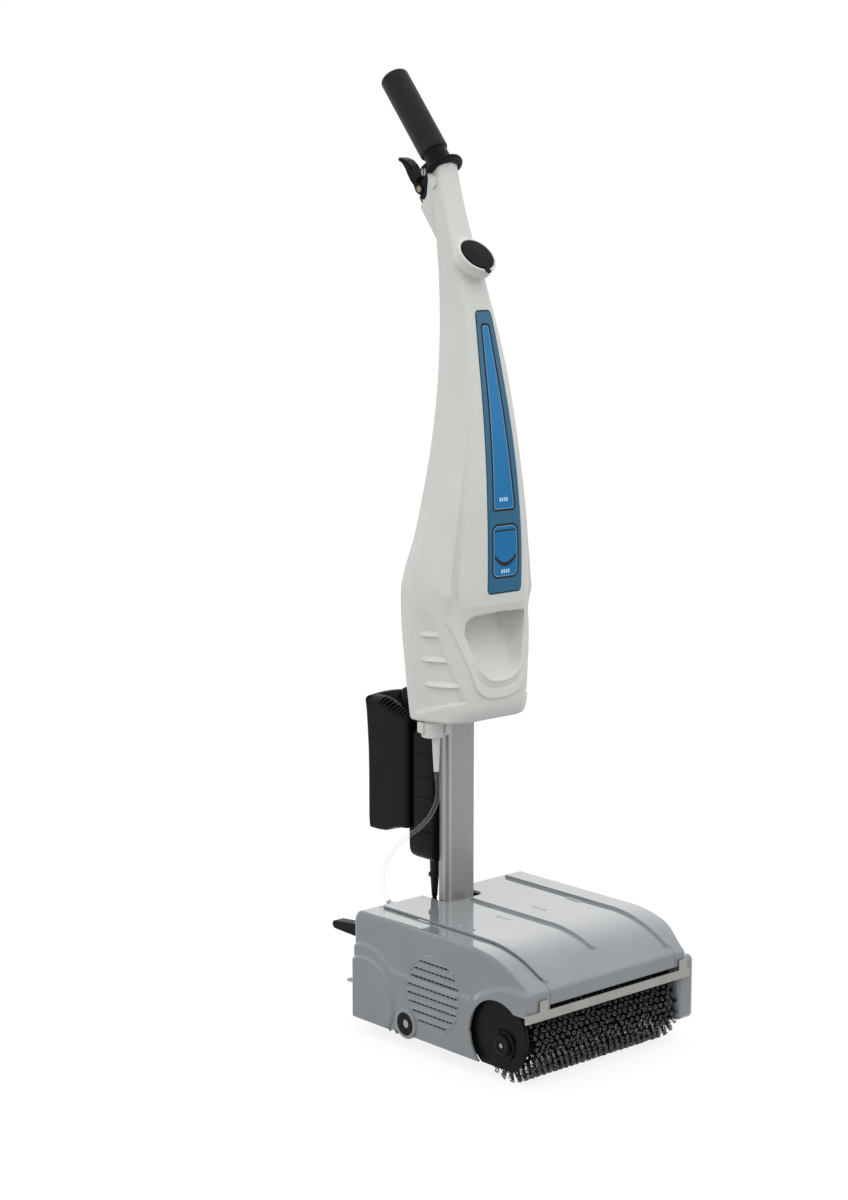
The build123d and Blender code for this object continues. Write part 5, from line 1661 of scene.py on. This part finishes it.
# Bristles
def bristles(axis_y, start_x, end_x):
    """Crimped bristles in staggered tufts round a brush core; the tips of a tuft curl into a ring."""
    rows, per_row, strands, steps, corners = 41, 26, 6, 10, 3
    root = sleeve_radius - 1
    places = np.meshgrid(np.arange(rows), np.arange(per_row), np.arange(strands), indexing="ij")
    row, index, strand = (place.ravel() for place in places)
    count = row.size
    x = start_x + (index + 0.25 + 0.5 * (row % 2)) * ((end_x - start_x) / per_row)
    angle = 2 * pi * row / rows
    tufts = rows * per_row
    tuft = random.normal(0.0, 0.5, (tufts, 2)).repeat(strands, axis=0)
    begin = 2 * pi * strand / strands + random.uniform(-0.4, 0.4, count)
    spin = np.where(random.random(tufts) < 0.5, 1.0, -1.0).repeat(strands)
    curl_size = random.uniform(1.7, 2.4, count)
    shorten = random.uniform(-1.6, 0.0, count)
    stray = (random.random(count) < 0.33)[:, None] * random.normal(0.0, 1.8, (count, 2))
    end = np.where(index == 0, -1.0, np.where(index == per_row - 1, 1.0, 0.0))
    splay = end * random.uniform(0.0, 5.0, count)
    line = []
    for share in np.arange(steps + 1) / steps:
        tip = max(share - 0.5, 0.0) / 0.5
        radius = root + (brush_radius + shorten - root) * min(share / 0.62, 1.0) ** 0.9
        radius = radius - 0.7 * (1.0 - tip) * (share > 0.5)
        curl = 0.6 + (curl_size - 0.6) * min(share / 0.6, 1.0) ** 2
        turn = begin + spin * 3.4 * tip
        along = x + curl * np.cos(turn) + share**2 * (tuft[:, 0] + stray[:, 0] + splay)
        along = np.clip(along, start_x + 0.4, end_x - 0.4)
        around = curl * np.sin(turn) + share**2 * (tuft[:, 1] + stray[:, 1])
        bent = angle + around / radius
        line.append(np.stack([along, axis_y + radius * np.cos(bent), axis_z + radius * np.sin(bent)], -1))
    line = np.stack(line, 1)
    # Each strand is a three-sided tube with a closed tip
    heading = np.gradient(line, axis=1)
    heading /= np.linalg.norm(heading, axis=2)[..., None]
    side = np.cross(heading, (0.83, 0.41, 0.37))
    side /= np.linalg.norm(side, axis=2)[..., None]
    across = np.cross(heading, side)
    thick = np.linspace(0.46, 0.36, steps + 1)[None, :, None, None]
    turns = np.arange(corners) * 2 * pi / corners
    skin = line[:, :, None, :] + thick * (
        np.cos(turns)[:, None] * side[:, :, None, :] + np.sin(turns)[:, None] * across[:, :, None, :]
    )
    per = corners * (steps + 1)
    first = np.arange(count) * per
    strand_faces = grid_faces(steps + 1, corners, wrap=True)
    faces = (strand_faces[None] + first[:, None, None]).reshape(-1, 4)
    tips = np.arange(per - corners, per)[None] + first[:, None]
    return skin.reshape(-1, 3), faces.tolist() + tips.tolist()


for name, body, node, axis_y, start_x in (
    ("front_tufts", "front_brush", "front_bristles", front_axis_y, -124.0),
    ("rear_tufts", "rear_brush", "rear_bristles", rear_axis_y, -112.0),
):
    tufts = bristles(axis_y, start_x, start_x + bristle_length)
    new_piece(name, tufts, "bristle_nylon", body, [node], crease=0)

# Axle bosses and hubs
boss_line = rounded([(14.1, 0.0), (18.6, 0.0), (18.6, 9.4), (14.1, 9.4)], [0.5, 2.2], steps=5)
for name, side in (("left_axle_boss", -1.0), ("right_axle_boss", 1.0)):
    boss = lathe(boss_line, (side * 131.5, axle_y, axle_height), (side, 0, 0), sides=56, closed=True)
    new_piece(name, boss, "casing_grey", "head")
hub_line = rounded(
    [(0.0, 5.2), (3.0, 5.2), (3.6, 4.4), (9.5, 5.6), (12.6, 4.6), (12.6, 0.4), (0.0, 0.4)],
    [0.6, 0.6, 2.0, 1.2, 0.6],
    steps=4,
)
hub_gap_line = [(12.0, 0.2), (17.8, 0.2), (17.8, 1.6), (12.0, 1.6)]
hub_screw_line = [(2.6, 4.9), (2.6, 5.6), (2.0, 5.9), (0.8, 5.9), (0.0, 5.2)]


def hub_cap(place, outward):
    """Bayonet cap: domed middle, dark gap and four lugs."""
    half_angle, lug_inner, lug_outer = 0.36, 13.4, 18.4
    shapes = [lathe(hub_line[::-1], place, outward, sides=56)]
    shapes.append(lathe(hub_gap_line, place, outward, sides=56, closed=True))
    for index in range(4):
        middle = radians(38 + 90 * index)
        sector = [(lug_outer, middle + turn) for turn in np.linspace(-half_angle, half_angle, 7)]
        sector += [(lug_inner, middle + turn) for turn in np.linspace(half_angle, -half_angle, 7)]
        outline = [(radius * cos(angle), radius * sin(angle)) for radius, angle in sector]
        shapes.append(slab(outline, 1.0, 2.8, place, outward))
    return join(*shapes)


for name, side, axis_y in (("front", -1.0, front_axis_y), ("rear", 1.0, rear_axis_y)):
    hub_place = (side * hub_x, axis_y, axis_z)
    outward = (side, 0, 0)
    body = name + "_hub"
    cap_shape = hub_cap(hub_place, outward)
    cap = new_piece(name + "_bayonet_cap", cap_shape, "black_plastic", body, [name + "_hub_cap"])
    soften(cap, 0.5, 2)
    screw = lathe(hub_screw_line, hub_place, outward, sides=24)
    new_piece(name + "_bayonet_screw", screw, "bright_steel", body)

# CAD nodes that stay: finishes and softened edges
edge_widths = {
    "front_guard_bar": 1.2,
    "foot_pedal": 1.6,
    "front_end_plate": 1.0,
    "rear_end_plate": 1.0,
    "axle_bushes": 1.0,
    "axle_shaft": 0.8,
    "column_foot": 1.0,
    "battery_latch": 1.2,
    "hose_inlet": 0.6,
    "rear_splash_plate": 0.8,
    "left_wheel": 1.5,
    "right_wheel": 1.5,
    "control_box": 1.0,
}
for name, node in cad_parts.items():
    slot = node.material_slots[0].material.name.split(".")[0]
    node.material_slots[0].material = finishes["casing_grey" if name == "hose_inlet" else slot]
    if name in edge_widths:
        soften(node, edge_widths[name])


# Floor, backdrop and light
def seen(nodes):
    """1 for rays from the camera, a reflection or a clear piece, which see the white backdrop."""
    sight = nodes.node("ShaderNodeLightPath", {}, {}).socket.node
    names = ("Is Camera Ray", "Is Glossy Ray", "Is Transmission Ray")
    camera_ray, glossy_ray, clear_ray = (Wire(nodes, sight.outputs[name]) for name in names)
    return nodes.maths("MAXIMUM", nodes.maths("MAXIMUM", camera_ray, glossy_ray), clear_ray)


floor_finish = Finish("pale_floor")
white = floor_finish.node("ShaderNodeEmission", {}, {"Color": (1, 1, 1, 1), "Strength": 1.0})
matt = floor_finish.node("ShaderNodeBsdfDiffuse", {}, {"Color": (0.4, 0.4, 0.4, 1)})
bright = floor_finish.node("ShaderNodeBsdfDiffuse", {}, {"Color": (0.9, 0.9, 0.9, 1)})
lit = floor_finish.node("ShaderNodeMixShader", {}, {0: 0.85, 1: bright, 2: white})
floor_mix = floor_finish.node("ShaderNodeMixShader", {}, {0: seen(floor_finish), 1: matt, 2: lit})
floor_finish.finish_with(floor_mix)
floor_reach = 8.0
floor = bpy.data.meshes.new("pale_floor")
corners = [(x * floor_reach, y * floor_reach, 0) for x, y in ((-1, -1), (1, -1), (1, 1), (-1, 1))]
floor.from_pydata(corners, [], [(0, 1, 2, 3)])
floor.materials.append(floor_finish.material)
floor_item = bpy.data.objects.new("pale_floor", floor)
scene.collection.objects.link(floor_item)

world = bpy.data.worlds.new("studio")
world.use_nodes = True
scene.world = world
studio = Nodes(world.node_tree)
facing = studio.node("ShaderNodeTexCoord", {}, {}, "Generated")
height = studio.node("ShaderNodeSeparateXYZ", {}, {"Vector": facing}, "Z")
overhead = 0.70 + 1.3 * studio.maths("MAXIMUM", height, 0.0)
dome = studio.node("ShaderNodeBackground", {}, {"Color": (0.98, 0.99, 1.0, 1.0), "Strength": overhead})
backdrop = studio.node("ShaderNodeBackground", {}, {"Color": (1, 1, 1, 1), "Strength": 1.0})
studio_mix = studio.node("ShaderNodeMixShader", {}, {0: seen(studio), 1: dome, 2: backdrop})
studio.node("ShaderNodeOutputWorld", {}, {"Surface": studio_mix})

scene.view_settings.view_transform = "Standard"
